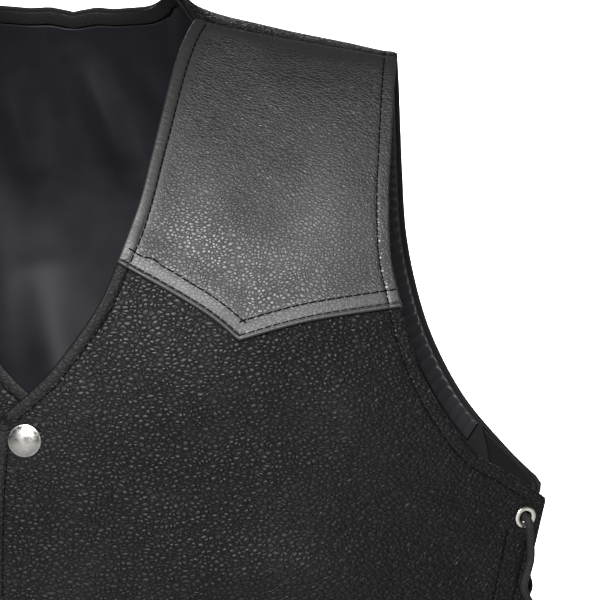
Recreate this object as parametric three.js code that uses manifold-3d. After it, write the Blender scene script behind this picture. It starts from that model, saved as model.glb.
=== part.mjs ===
// A worn leather vest: V neck, pointed front yokes, a snap front and sides closed by laces.
// Millimetres, +Z up. The wearer faces -Y, and the wearer's left is +X.
// The origin is level with the two points where the neck edge crosses the shoulder line.
import * as THREE from 'three';
import { mergeVertices } from 'three/addons/utils/BufferGeometryUtils.js';
import Module from 'manifold-3d';

const wasm = await Module();
wasm.setup();

// Walls and the gaps between them
const leatherWall = 1.6;
const facingWall = 1.4;
const liningWall = 1.0;
const seamGap = 0.4;
const layerGap = 0.5;
const liningGap = 1.2;
const edgeGap = 1.4;

// How far one leather layer is raised where it lies on another
const layerRise = leatherWall + layerGap;

// The shoulder rolls over from front to back within this height
const shoulderRoll = 130;
const backCurve = 2.6;

// Height of the shoulder line at each distance from the middle
const shoulderLine = [
  { x: 0, z: 50 },
  { x: 10, z: 49.5 },
  { x: 20, z: 45.5 },
  { x: 30, z: 38 },
  { x: 50, z: 14 },
  { x: 60, z: 0 },
  { x: 72, z: -8 },
  { x: 97, z: -15 },
  { x: 135, z: -23 },
  { x: 170, z: -30 },
  { x: 260, z: -58 },
];

// The filled-out form, one row for each height: how far front and back stand from the middle
// plane, how much they fall back at the half width, and how square the front is
const sections = [
  { z: 80, frontY: 70, frontFall: 60, frontCurve: 2.2, halfWidth: 255, backY: 62, backFall: 62 },
  { z: 0, frontY: 82, frontFall: 60, frontCurve: 2.2, halfWidth: 255, backY: 74, backFall: 70 },
  { z: -60, frontY: 97, frontFall: 61, frontCurve: 2.2, halfWidth: 255, backY: 86, backFall: 82 },
  { z: -120, frontY: 110, frontFall: 63, frontCurve: 2.2, halfWidth: 255, backY: 96, backFall: 91 },
  { z: -200, frontY: 118, frontFall: 65, frontCurve: 2.2, halfWidth: 255, backY: 100, backFall: 103 },
  { z: -260, frontY: 117, frontFall: 72, frontCurve: 2.5, halfWidth: 249, backY: 97, backFall: 101 },
  { z: -320, frontY: 114, frontFall: 78, frontCurve: 2.7, halfWidth: 241, backY: 92, backFall: 96 },
  { z: -420, frontY: 107, frontFall: 82, frontCurve: 2.9, halfWidth: 232, backY: 83, backFall: 88 },
  { z: -520, frontY: 105, frontFall: 81, frontCurve: 2.9, halfWidth: 234, backY: 85, backFall: 90 },
  { z: -640, frontY: 107, frontFall: 80, frontCurve: 2.9, halfWidth: 241, backY: 93, backFall: 92 },
];

// Outlines on the wearer's left. A row holds x with z, or with the distance run over the
// shoulder line, which is negative in front.
const shoulderSeam = [
  { x: 71.5, run: -31 },
  { x: 170, run: -18 },
];
const neckAtYoke = [
  { x: 71.5, run: -31 },
  { x: 66, z: -27 },
  { x: 62, z: -48 },
  { x: 58, z: -70 },
  { x: 53, z: -93 },
  { x: 43.5, z: -120 },
];
const armholeAtYoke = [
  { x: 170, run: -18 },
  { x: 170.5, z: -45 },
  { x: 170.8, z: -69 },
  { x: 171, z: -93 },
  { x: 173, z: -120 },
  { x: 178, z: -143.5 },
];
const yokeEdgeToPoint = [
  { x: 43.5, z: -120 },
  { x: 83.5, z: -143 },
  { x: 101.5, z: -157.5 },
];
const yokeEdgeFromPoint = [
  { x: 101.5, z: -157.5 },
  { x: 134.5, z: -149 },
  { x: 178, z: -143.5 },
];
const neckBelowYoke = [
  { x: 48, z: -110 },
  { x: 43.5, z: -120 },
  { x: 36.5, z: -137 },
  { x: 28, z: -151 },
  { x: 12.5, z: -171.5 },
  { x: 2.8, z: -181.5 },
  { x: -11.5, z: -194 },
];
const frontEdge = [
  { x: -11.5, z: -194 },
  { x: -15, z: -213 },
  { x: -17.5, z: -270 },
  { x: -17, z: -420 },
  { x: -16, z: -624 },
];
const armholeBelowYoke = [
  { x: 175.5, z: -134 },
  { x: 183.5, z: -162.5 },
  { x: 194.5, z: -188.5 },
  { x: 211.5, z: -214.3 },
  { x: 229, z: -227 },
  { x: 245.6, z: -240.3 },
];
const frontSideEdge = [
  { x: 245.6, z: -240.3 },
  { x: 246.6, z: -243.4 },
  { x: 243.5, z: -258 },
  { x: 235.5, z: -295 },
  { x: 229, z: -345 },
  { x: 225, z: -420 },
  { x: 227, z: -520 },
  { x: 232, z: -612 },
];
const frontHem = [
  { x: -16, z: -624 },
  { x: 60, z: -621 },
  { x: 150, z: -615 },
  { x: 232, z: -612 },
];
const backNeck = [
  { x: 0, z: -17.4 },
  { x: 25, z: -15 },
  { x: 46.5, z: -9.2 },
  { x: 63, run: 0 },
  { x: 71.5, run: -31 },
];
const backShoulderEnd = [
  { x: 170, run: -17.6 },
  { x: 169.5, run: 0 },
  { x: 168.5, z: -36 },
  { x: 168, z: -60 },
];
const backArmhole = [
  { x: 168, z: -60 },
  { x: 168, z: -93 },
  { x: 169.5, z: -127 },
  { x: 175.8, z: -158 },
  { x: 185.5, z: -183.5 },
  { x: 201.5, z: -209 },
  { x: 223.5, z: -230 },
  { x: 239.8, z: -241.9 },
];
const backSideEdge = [
  { x: 239.8, z: -241.9 },
  { x: 241.4, z: -247 },
  { x: 237.4, z: -260 },
  { x: 230.4, z: -293 },
  { x: 224.4, z: -345 },
  { x: 221, z: -420 },
  { x: 223.4, z: -520 },
  { x: 229, z: -612 },
];
const backHem = [
  { x: 0, z: -616 },
  { x: 120, z: -614 },
  { x: 229, z: -612 },
];
const sideFacingTop = [
  { x: 212.5, z: -221.3 },
  { x: 224, z: -231 },
  { x: 239.2, z: -242.4 },
];
const sideFacingInner = [
  { x: 212.5, z: -221.3 },
  { x: 217, z: -246 },
  { x: 211.5, z: -293 },
  { x: 205, z: -345 },
  { x: 200.3, z: -420 },
  { x: 202, z: -520 },
  { x: 207, z: -611 },
];

// The soft folds of the back lining, one row each, from one end to the other
const liningFolds = [
  { x: -36, z: -48, toX: -22, toZ: -110, width: 9, depth: 4 },
  { x: 2, z: -42, toX: 26, toZ: -104, width: 8, depth: 5 },
  { x: -66, z: -90, toX: -40, toZ: -215, width: 14, depth: 5 },
  { x: -22, z: -150, toX: 8, toZ: -270, width: 16, depth: 6 },
  { x: 44, z: -80, toX: 58, toZ: -230, width: 12, depth: 5 },
  { x: 92, z: -120, toX: 84, toZ: -330, width: 15, depth: 5 },
  { x: -104, z: -140, toX: -96, toZ: -380, width: 15, depth: 5 },
  { x: 20, z: -330, toX: 30, toZ: -560, width: 16, depth: 5 },
  { x: -50, z: -360, toX: -58, toZ: -580, width: 15, depth: 5 },
  { x: 128, z: -340, toX: 124, toZ: -560, width: 14, depth: 4 },
];

// Trim
const frontTuck = 10;
const backHemTurn = 12;
const backRows = { closeTo: -100, mediumTo: -260 };
const neckFacing = { inset: 0.6, width: 7.2, steps: 18 };
const armholeFacing = {
  inset: 1.6, width: 11, gathers: 36, stepsEach: 3, height: 1.4, flat: 0.4, least: 0.7, sway: 0.3, overShoulder: 150, endGap: 2,
};
const underlap = { extra: 3.5, fromZ: -125, toZ: -185 };
const lap = { liftedTo: 25, flatFrom: 46 };
const snap = { count: 4, firstZ: -205, pitch: 105, radius: 8.2, height: 3, sides: 12 };
const eyelet = {
  count: 5, firstZ: -250, pitch: 74, inset: 9, radius: 5.6, footRadius: 5.15, hole: 3.1, flare: 0.4, rim: 0.8, seat: 0.6, sides: 10,
};
const holeCut = { length: 20, sides: 8 };
const barrelWall = 0.5;
const lace = { radius: 2, sides: 6, crossing: 2.5, crossAt: 0.45, clear: 0.5, knotRadius: 4.8, knotHeight: 3.6 };

// Snap cap, from its seat up: shares of its radius and of its height
const snapProfile = [
  { out: 0, up: 0 },
  { out: 0.94, up: 0 },
  { out: 1, up: 0.2 },
  { out: 0.93, up: 0.5 },
  { out: 0.6, up: 0.88 },
  { out: 0, up: 1 },
];

// Places of the lace round an eyelet: towards the gap, down and out from its middle
const laceOver = [
  { toGap: 0.2, down: 0.6, out: 2.2 },
  { toGap: 1, down: 2.7, out: 4.2 },
  { toGap: 2.4, down: 6, out: 4.6 },
  { toGap: 5, down: 10.5, out: 3.8 },
  { toGap: 10.4, down: 16, out: 3.6 },
  { toGap: 16, down: 22, out: 1.6 },
];
// The same from a top eyelet, where the edge slants in and the lace hangs down along it
const laceOverTop = [
  { toGap: 0.2, down: 0.6, out: 2.2 },
  { toGap: 0.8, down: 2.9, out: 4.2 },
  { toGap: 1.4, down: 7, out: 4.2 },
  { toGap: 2.3, down: 12, out: 3.8 },
  { toGap: 3.2, down: 17, out: 3.5 },
  { toGap: 3.5, down: 21.5, out: 3.4 },
  { toGap: 2.8, down: 26.6, out: 3.2 },
  { toGap: 1.9, down: 31, out: 3 },
  { toGap: 1.4, down: 36, out: 3 },
  { toGap: 3.6, down: 41, out: 3 },
  { toGap: 8, down: 47, out: 1.2 },
];
const laceUnder = { toGap: 14, down: -12 };
const laceRise = { toGap: 5, down: -4.5, drop: 1.2 };
const laceEntry = { toGap: 0.2, down: -0.3, rise: 0.8 };
const laceBar = { toGap: 6, drop: 0.4 };
const laceEnd = { out: 0.9 };

const blackLeather = { color: 0x1d1d1f, roughness: 0.5, metalness: 0 };
const darkSatin = { color: 0x1b1c23, roughness: 0.45, metalness: 0 };
const nickel = { color: 0xb9bbbd, roughness: 0.3, metalness: 1 };
const blackCord = { color: 0x18181a, roughness: 0.9, metalness: 0 };

const smooth = (from, to, value) => THREE.MathUtils.smoothstep(value, from, to);

// Smooth curve through the rows of a table, read where the key column is `at`.
// A row's slope is the harmonic mean of its two neighbours', so nothing overshoots.
function read(rows, key, column, at) {
  const last = rows.length - 1;
  const direction = Math.sign(rows[last][key] - rows[0][key]);
  let i = 0;
  while (i < last - 1 && direction * (at - rows[i + 1][key]) > 0) i += 1;
  const slope = (k) => (rows[k + 1][column] - rows[k][column]) / (rows[k + 1][key] - rows[k][key]);
  const tangent = (k) => {
    if (k === 0) return slope(0);
    if (k === last) return slope(last - 1);
    const before = slope(k - 1);
    const after = slope(k);
    return before * after > 0 ? (2 * before * after) / (before + after) : 0;
  };
  const step = rows[i + 1][key] - rows[i][key];
  const t = THREE.MathUtils.clamp((at - rows[i][key]) / step, 0, 1);
  const rise = t * t * (3 - 2 * t);
  const start = t * (1 - t) * (1 - t) * step;
  const end = t * t * (t - 1) * step;
  return (1 - rise) * rows[i][column] + rise * rows[i + 1][column]
    + start * tangent(i) + end * tangent(i + 1);
}

const shoulderHeight = (x) => read(shoulderLine, 'x', 'z', Math.abs(x));

// A point of the form at x, `run` behind the shoulder line, or before it where run is negative
function formPoint(x, run) {
  const angle = Math.min(Math.abs(run) / shoulderRoll, Math.PI / 2);
  const below = Math.max(Math.abs(run) - (shoulderRoll * Math.PI) / 2, 0);
  const z = shoulderHeight(x) - shoulderRoll * (1 - Math.cos(angle)) - below;
  const at = (column) => read(sections, 'z', column, z);
  const out = Math.abs(x) / at('halfWidth');
  const depth = run < 0
    ? at('frontFall') * out ** at('frontCurve') - at('frontY')
    : at('backY') - at('backFall') * out ** backCurve;
  return new THREE.Vector3(x, depth * Math.sin(angle), z);
}

// The run that brings the form at x down to the height z
function runTo(x, z) {
  const fall = shoulderHeight(x) - z;
  if (fall >= shoulderRoll) return fall - shoulderRoll + (shoulderRoll * Math.PI) / 2;
  return shoulderRoll * Math.acos(1 - Math.max(fall, 0) / shoulderRoll);
}

// A point of the form and the way outward from it
function frameAt(x, run) {
  const step = 0.5;
  const across = formPoint(x + step, run).sub(formPoint(x - step, run)).normalize();
  const along = formPoint(x, run + step).sub(formPoint(x, run - step));
  const out = new THREE.Vector3().crossVectors(across, along).normalize();
  return { point: formPoint(x, run), out };
}

function offForm(x, run, distance) {
  const { point, out } = frameAt(x, run);
  return point.addScaledVector(out, distance);
}

const front = -1;
const behind = 1;

// Evenly spaced places along the smooth curve through an outline's rows
function trace(rows, side, steps) {
  if (rows.some((row) => 'run' in row)) {
    const places = rows.map((row) => (
      new THREE.Vector2(row.x, 'run' in row ? row.run : side * runTo(row.x, row.z))
    ));
    return new THREE.SplineCurve(places).getSpacedPoints(steps);
  }
  const points = new THREE.SplineCurve(rows.map(({ x, z }) => new THREE.Vector2(x, z)));
  return points.getSpacedPoints(steps).map(({ x, y: z }) => new THREE.Vector2(x, side * runTo(x, z)));
}

const joined = (first, second) => [...first, ...second.slice(1)];
const mirrored = (places) => places.map(({ x, y }) => new THREE.Vector2(-x, y)).reverse();

// The same line moved sideways over the form, to the right of its direction where positive
function inset(places, distance) {
  return places.map((place, i) => {
    const before = places[Math.max(i - 1, 0)];
    const after = places[Math.min(i + 1, places.length - 1)];
    const along = after.clone().sub(before).normalize();
    return new THREE.Vector2(place.x + along.y * distance, place.y - along.x * distance);
  });
}

function fractions(first, second) {
  const lengths = (places) => places.reduce((sums, place, i) => {
    sums.push(i ? sums[i - 1] + place.distanceTo(places[i - 1]) : 0);
    return sums;
  }, []);
  const a = lengths(first);
  const b = lengths(second);
  return a.map((value, i) => (value / a.at(-1) + b[i] / b.at(-1)) / 2);
}

// A grid of places filled in between four outlines (a Coons patch)
function patch(top, bottom, left, right) {
  const us = fractions(top, bottom);
  const vs = fractions(left, right);
  const blend = (a, b, t) => a.clone().lerp(b, t);
  return vs.map((v, j) => us.map((u, i) => {
    const corners = blend(blend(top[0], top.at(-1), u), blend(bottom[0], bottom.at(-1), u), v);
    return blend(top[i], bottom[i], v).add(blend(left[j], right[j], u)).sub(corners);
  }));
}

// A closed wall on a grid of places. Its outer face is moved off the form by outerAt.
function wall(grid, thickness, outerAt) {
  const rows = grid.length;
  const columns = grid[0].length;
  const positions = [];
  for (const inward of [0, thickness]) {
    grid.forEach((row, j) => row.forEach(({ x, y }, i) => {
      positions.push(...offForm(x, y, outerAt(x, y, i, j) - inward).toArray());
    }));
  }
  const id = (face, j, i) => (face * rows + j) * columns + i;
  const quads = [];
  for (let j = 0; j < rows - 1; j += 1) {
    for (let i = 0; i < columns - 1; i += 1) {
      quads.push([id(0, j, i), id(0, j, i + 1), id(0, j + 1, i + 1), id(0, j + 1, i)]);
      quads.push([id(1, j, i), id(1, j + 1, i), id(1, j + 1, i + 1), id(1, j, i + 1)]);
    }
  }
  const endRow = rows - 1;
  const endColumn = columns - 1;
  for (let i = 0; i < endColumn; i += 1) {
    quads.push([id(0, 0, i + 1), id(0, 0, i), id(1, 0, i), id(1, 0, i + 1)]);
    quads.push([id(0, endRow, i), id(0, endRow, i + 1), id(1, endRow, i + 1), id(1, endRow, i)]);
  }
  for (let j = 0; j < endRow; j += 1) {
    quads.push([id(0, j, 0), id(0, j + 1, 0), id(1, j + 1, 0), id(1, j, 0)]);
    quads.push([
      id(0, j + 1, endColumn), id(0, j, endColumn), id(1, j, endColumn), id(1, j + 1, endColumn),
    ]);
  }
  const corner = grid[0][0];
  const turn = grid[0][1].clone().sub(corner).cross(grid[1][0].clone().sub(corner));
  const index = quads.flatMap(([a, b, c, d]) => (turn > 0 ? [a, b, c, a, c, d] : [a, c, b, a, d, c]));
  const geometry = new THREE.BufferGeometry();
  geometry.setAttribute('position', new THREE.Float32BufferAttribute(positions, 3));
  geometry.setIndex(index);
  return geometry;
}

function toSolid(geometry) {
  const bare = geometry.clone();
  bare.deleteAttribute('normal');
  bare.deleteAttribute('uv');
  const merged = mergeVertices(bare, 1e-4);
  return new wasm.Manifold(new wasm.Mesh({
    numProp: 3,
    vertProperties: new Float32Array(merged.attributes.position.array),
    triVerts: new Uint32Array(merged.index.array),
  }));
}

function cutHoles(geometry, holes) {
  let solid = toSolid(geometry);
  for (const hole of holes) solid = solid.subtract(toSolid(hole));
  const mesh = solid.getMesh();
  const result = new THREE.BufferGeometry();
  result.setAttribute('position', new THREE.BufferAttribute(new Float32Array(mesh.vertProperties), 3));
  result.setIndex(new THREE.BufferAttribute(new Uint32Array(mesh.triVerts), 1));
  return result;
}

const vest = new THREE.Group();

function add(name, geometry, finish) {
  if (!geometry.attributes.normal) geometry.computeVertexNormals();
  const mesh = new THREE.Mesh(geometry, new THREE.MeshStandardMaterial(finish));
  mesh.name = name;
  vest.add(mesh);
  return mesh;
}

const standUp = new THREE.Vector3(0, 1, 0);

// Turns a shape made round +Y so that it stands on the form at a spot, and puts it there
function standOn(geometry, { point, out }, height) {
  const turned = geometry.clone().applyQuaternion(new THREE.Quaternion().setFromUnitVectors(standUp, out));
  const place = point.clone().addScaledVector(out, height);
  return turned.translate(place.x, place.y, place.z);
}

const sides = [
  { name: 'left', sign: 1 },
  { name: 'right', sign: -1 },
];

// Where the eyelets of an edge lie: the spot, the way to the gap and the way down
function eyeletSpots(edge, side, sign) {
  return Array.from({ length: eyelet.count }, (_, i) => {
    const z = eyelet.firstZ - i * eyelet.pitch;
    const x = sign * (read(edge, 'z', 'x', z) - eyelet.inset);
    const spot = frameAt(x, side * runTo(x, z));
    const toGap = new THREE.Vector3(0, 0, 1).cross(spot.out).normalize();
    if (toGap.x * sign < 0) toGap.negate();
    const down = new THREE.Vector3().crossVectors(spot.out, toGap);
    if (down.z > 0) down.negate();
    return { ...spot, toGap, down };
  });
}

const cylinder = (radius, length, segments) => new THREE.CylinderGeometry(radius, radius, length, segments);

function holesAt(spots) {
  const holeRadius = eyelet.hole + barrelWall + seamGap;
  return spots.map((spot) => standOn(cylinder(holeRadius, holeCut.length, holeCut.sides), spot, 0));
}

// Yokes: plain at the shoulder, raised over the front panel along their pointed lower edge
function addYoke({ name, sign }) {
  const rows = 11;
  const grid = patch(
    trace(shoulderSeam, front, 10),
    joined(trace(yokeEdgeToPoint, front, 5), trace(yokeEdgeFromPoint, front, 5)),
    trace(neckAtYoke, front, rows),
    trace(armholeAtYoke, front, rows),
  );
  const placed = grid.map((row) => row.map(({ x, y }) => new THREE.Vector2(sign * x, y)));
  add(`yoke_${name}`, wall(placed, leatherWall, (x, y, i, j) => layerRise * smooth(rows - 3, rows - 1, j)),
    blackLeather);
}

// Front panels: their top edge is tucked up under the yoke
function addFront({ name, sign }, spots) {
  const raised = (rows) => rows.map(({ x, z }) => ({ x, z: z + frontTuck }));
  const topLeft = [neckBelowYoke[0], ...raised(yokeEdgeToPoint.slice(1))];
  const topRight = [...raised(yokeEdgeFromPoint.slice(0, 2)), armholeBelowYoke[0]];
  const extra = sign < 0 ? underlap.extra : 0;
  const crossed = (rows) => rows.map(({ x, z }) => (
    { x: x - extra * smooth(-underlap.fromZ, -underlap.toZ, -z), z }
  ));
  const grid = patch(
    joined(trace(topLeft, front, 6), trace(topRight, front, 6)),
    trace(crossed(frontHem.slice(0, 1)).concat(frontHem.slice(1)), front, 12),
    joined(trace(crossed(neckBelowYoke), front, 8), trace(crossed(frontEdge), front, 12)),
    joined(trace(armholeBelowYoke, front, 8), trace(frontSideEdge, front, 12)),
  );
  const placed = grid.map((row) => row.map(({ x, y }) => new THREE.Vector2(sign * x, y)));
  const lift = (x) => (sign > 0 ? layerRise * smooth(-lap.flatFrom, -lap.liftedTo, -x) : 0);
  add(`front_${name}`, cutHoles(wall(placed, leatherWall, lift), holesAt(spots)), blackLeather);
}

// The half of a grid on the wearer's left becomes a whole one
const bothHalves = (grid) => grid.map((row) => [...mirrored(row), ...row.slice(1)]);

// Back: one piece that comes over the shoulders to the seams in front
function addBack(spots) {
  const besideSeam = shoulderSeam.map(({ x, run }) => ({ x, run: run + seamGap }));
  const neck = [...backNeck.slice(0, -1), besideSeam[0]];
  const middle = (from, to, steps) => trace([{ x: 0, z: from }, { x: 0, z: to }], behind, steps);
  const { closeTo, mediumTo } = backRows;
  const grid = patch(
    joined(trace(neck, behind, 8), trace(besideSeam, behind, 4)),
    trace(backHem, behind, 12),
    joined(
      joined(middle(backNeck[0].z, closeTo, 8), middle(closeTo, mediumTo, 10)),
      middle(mediumTo, backHem[0].z, 8),
    ),
    joined(
      joined(trace(backShoulderEnd, behind, 8), trace(backArmhole, behind, 10)),
      trace(backSideEdge, behind, 8),
    ),
  );
  add('back', cutHoles(wall(bothHalves(grid), leatherWall, () => 0), holesAt(spots)), blackLeather);
}

// Inside of the back, all on one layer: facings round its edges and the lining between them
const innerLayer = -(leatherWall + liningGap);

const neckLine = trace(backNeck, behind, neckFacing.steps);
const wholeNeckLine = joined(mirrored(neckLine), neckLine);

function addNeckFacing() {
  const outer = inset(wholeNeckLine, -neckFacing.inset);
  const inner = inset(wholeNeckLine, -neckFacing.inset - neckFacing.width);
  add('neck_facing', wall([outer, inner], facingWall, () => innerLayer), blackLeather);
}

// The armhole's gathered strip, from the shoulder seam to the leather at the side
const backArmholeLine = joined(trace(backShoulderEnd, behind, 60), trace(backArmhole, behind, 180));
const stripLine = backArmholeLine.filter(({ x, y }) => (
  y < armholeFacing.overShoulder || x < sideFacingTop[0].x - armholeFacing.endGap
));

function addArmholeFacing({ name, sign }) {
  const steps = armholeFacing.gathers * armholeFacing.stepsEach;
  const line = new THREE.SplineCurve(stripLine).getSpacedPoints(steps);
  const outer = inset(line, -armholeFacing.inset);
  const inner = inset(line, -armholeFacing.inset - armholeFacing.width);
  const placed = [outer, inner].map((row) => row.map(({ x, y }) => new THREE.Vector2(sign * x, y)));
  const { flat, height, stepsEach, least, sway } = armholeFacing;
  const gather = (x, y, i) => (
    innerLayer - flat - height * (i % stepsEach === 1 ? 0 : least + sway * Math.sin(i))
  );
  add(`armhole_facing_${name}`, wall(placed, liningWall, gather), darkSatin);
}

function addSideFacing({ name, sign }, spots) {
  const hemZ = sideFacingInner.at(-1).z;
  const besideEdge = backSideEdge.map(({ x, z }) => ({ x: x - seamGap, z: Math.max(z, hemZ) }));
  besideEdge[0] = sideFacingTop.at(-1);
  const hem = [sideFacingInner.at(-1), besideEdge.at(-1)];
  const grid = patch(
    trace(sideFacingTop, behind, 2),
    trace(hem, behind, 2),
    trace(sideFacingInner, behind, 14),
    trace(besideEdge, behind, 14),
  );
  const placed = grid.map((row) => row.map(({ x, y }) => new THREE.Vector2(sign * x, y)));
  const solid = wall(placed, facingWall, () => innerLayer);
  add(`side_facing_${name}`, cutHoles(solid, holesAt(spots)), blackLeather);
}

// How far the lining stands in from the back at a place: soft ridges along its folds, lower at
// their ends
function foldHeight(x, z) {
  return liningFolds.reduce((height, fold) => {
    const along = new THREE.Vector2(fold.toX - fold.x, fold.toZ - fold.z);
    const from = new THREE.Vector2(x - fold.x, z - fold.z);
    const t = THREE.MathUtils.clamp(from.dot(along) / along.lengthSq(), 0, 1);
    const away = from.addScaledVector(along, -t).length() / fold.width;
    return height + fold.depth * Math.sin(Math.PI * (0.1 + 0.8 * t)) * Math.exp(-away * away);
  }, 0);
}

function addBackLining() {
  const neckInset = neckFacing.inset + neckFacing.width + edgeGap;
  const neck = inset(trace(backNeck, behind, 6), -neckInset);
  const stripInset = armholeFacing.inset + armholeFacing.width + edgeGap;
  const strip = inset(new THREE.SplineCurve(stripLine).getSpacedPoints(12), -stripInset);
  const seamRun = shoulderSeam.at(-1).run + seamGap;
  strip[0] = new THREE.Vector2(strip[0].x, seamRun);
  const seam = new THREE.SplineCurve([neck.at(-1), strip[0]]).getSpacedPoints(3);
  const bottomZ = backHem[0].z + backHemTurn;
  const facingEdge = sideFacingInner.slice(1).map(({ x, z }) => (
    new THREE.Vector2(x - edgeGap, runTo(x, Math.max(z, bottomZ)))
  ));
  const edge = joined(strip, new THREE.SplineCurve([strip.at(-1), ...facingEdge]).getSpacedPoints(9));
  const bottom = trace([{ x: 0, z: bottomZ }, { x: sideFacingInner.at(-1).x - edgeGap, z: bottomZ }], behind, 9);
  const grid = patch(
    joined(neck, seam),
    bottom,
    new THREE.SplineCurve([neck[0], bottom[0]]).getSpacedPoints(21),
    edge,
  );
  const drape = (x, run) => innerLayer - foldHeight(x, formPoint(x, run).z);
  add('back_lining', wall(bothHalves(grid), liningWall, drape), darkSatin);
}

// Snaps down the front, on the panel that laps over
function addSnaps() {
  const profile = snapProfile.map(({ out, up }) => new THREE.Vector2(out * snap.radius, up * snap.height));
  const cap = new THREE.LatheGeometry(profile, snap.sides);
  for (let i = 0; i < snap.count; i += 1) {
    const spot = frameAt(0, -runTo(0, snap.firstZ - i * snap.pitch));
    add(`snap_${i + 1}`, standOn(cap, spot, layerRise + seamGap), nickel);
  }
}

// An eyelet is one spool: a rim outside, a barrel through the leather and a rim inside
function eyeletShape(depth) {
  const { radius, footRadius, hole, flare, rim, seat } = eyelet;
  const barrel = hole + barrelWall;
  const foot = -depth - seat;
  return new THREE.LatheGeometry([
    new THREE.Vector2(hole, seat + rim),
    new THREE.Vector2(hole + flare, foot - rim),
    new THREE.Vector2(footRadius, foot),
    new THREE.Vector2(barrel, foot),
    new THREE.Vector2(barrel, seat),
    new THREE.Vector2(radius, seat),
    new THREE.Vector2(hole, seat + rim),
  ], eyelet.sides);
}

const frontDepth = leatherWall;
const backDepth = leatherWall + liningGap + facingWall;

// One lace for each side. Its middle is a bar inside, between the two top eyelets. Each half
// then comes out of an eyelet, passes over that edge, crosses the gap and goes up through
// the next eyelet of the other edge from inside.
function laceRoute(frontSpots, backSpots) {
  const edges = [
    { spots: frontSpots, depth: frontDepth },
    { spots: backSpots, depth: backDepth },
  ];
  const at = (spot, { toGap = 0, down = 0, out = 0 }) => spot.point.clone()
    .addScaledVector(spot.toGap, toGap)
    .addScaledVector(spot.down, down)
    .addScaledVector(spot.out, out);
  const below = (edge) => -(edge.depth + seamGap + eyelet.rim + lace.radius + lace.clear);
  const outThrough = (edge, spot) => [
    at(spot, { ...laceEntry, out: below(edge) + laceEntry.rise }),
    at(spot, { out: -1 }),
  ];
  const half = (start) => {
    const points = [];
    for (let i = 0; i < eyelet.count - 1; i += 1) {
      const from = edges[(start + i) % 2];
      const to = edges[(start + i + 1) % 2];
      const spot = from.spots[i];
      const next = to.spots[i + 1];
      const over = i === 0 ? laceOverTop : laceOver;
      points.push(...outThrough(from, spot), ...over.map((place) => at(spot, place)));
      const under = at(next, { ...laceUnder, out: below(to) });
      const crossing = new THREE.Vector3(Math.sign(spot.point.x), 0, 0);
      crossing.multiplyScalar(lace.crossing * (start === 0 ? 1 : -1) * (i % 2 ? -1 : 1));
      points.push(points.at(-1).clone().lerp(under, lace.crossAt).add(crossing));
      points.push(under, at(next, { ...laceRise, out: below(to) - laceRise.drop }));
    }
    const lastEdge = edges[(start + eyelet.count - 1) % 2];
    const last = lastEdge.spots.at(-1);
    points.push(...outThrough(lastEdge, last), at(last, laceEnd));
    return points;
  };
  const first = half(0);
  const second = half(1);
  const bar = first[0].clone().lerp(second[0], 0.5);
  const barStart = at(frontSpots[0], { ...laceBar, out: below(edges[0]) - laceBar.drop });
  const barEnd = at(backSpots[0], { ...laceBar, out: below(edges[1]) - laceBar.drop });
  return [...first.reverse(), barStart, bar, barEnd, ...second];
}

function tubeAlong(points) {
  const curve = new THREE.CatmullRomCurve3(points, false, 'centripetal');
  curve.getUtoTmapping = (u) => u;
  const ring = Array.from({ length: lace.sides }, (_, i) => {
    const angle = (2 * Math.PI * i) / lace.sides;
    return new THREE.Vector2(lace.radius * Math.cos(angle), lace.radius * Math.sin(angle));
  });
  return new THREE.ExtrudeGeometry(new THREE.Shape(ring), { steps: points.length - 1, extrudePath: curve });
}

function addKnots(name, lastSpots) {
  const knot = new THREE.SphereGeometry(1, 10, 6);
  knot.scale(lace.knotRadius, lace.knotHeight, lace.knotRadius);
  const height = eyelet.seat + eyelet.rim + seamGap + lace.knotHeight;
  lastSpots.forEach((spot, i) => {
    add(`lace_knot_${name}_${i + 1}`, standOn(knot, spot, height), blackCord);
  });
}

const backSpotsBySide = [];
for (const side of sides) {
  const frontSpots = eyeletSpots(frontSideEdge, front, side.sign);
  const backSpots = eyeletSpots(backSideEdge, behind, side.sign);
  backSpotsBySide.push(...backSpots);
  addFront(side, frontSpots);
  addYoke(side);
  addArmholeFacing(side);
  addSideFacing(side, backSpots);
  frontSpots.forEach((spot, i) => {
    add(`eyelet_front_${side.name}_${i + 1}`, standOn(eyeletShape(frontDepth), spot, 0), nickel);
  });
  backSpots.forEach((spot, i) => {
    add(`eyelet_back_${side.name}_${i + 1}`, standOn(eyeletShape(backDepth), spot, 0), nickel);
  });
  add(`lace_${side.name}`, tubeAlong(laceRoute(frontSpots, backSpots)), blackCord);
  addKnots(side.name, [frontSpots.at(-1), backSpots.at(-1)]);
}
addBack(backSpotsBySide);
addNeckFacing();
addBackLining();
addSnaps();

export default vest;
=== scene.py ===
# A worn black leather vest: pebbled leather panels, pointed yokes, snaps, laced sides and a
# dark satin lining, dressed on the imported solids. Pattern tables are in millimetres as cut,
# and every mesh is made in metres.
from math import pi, radians

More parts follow.
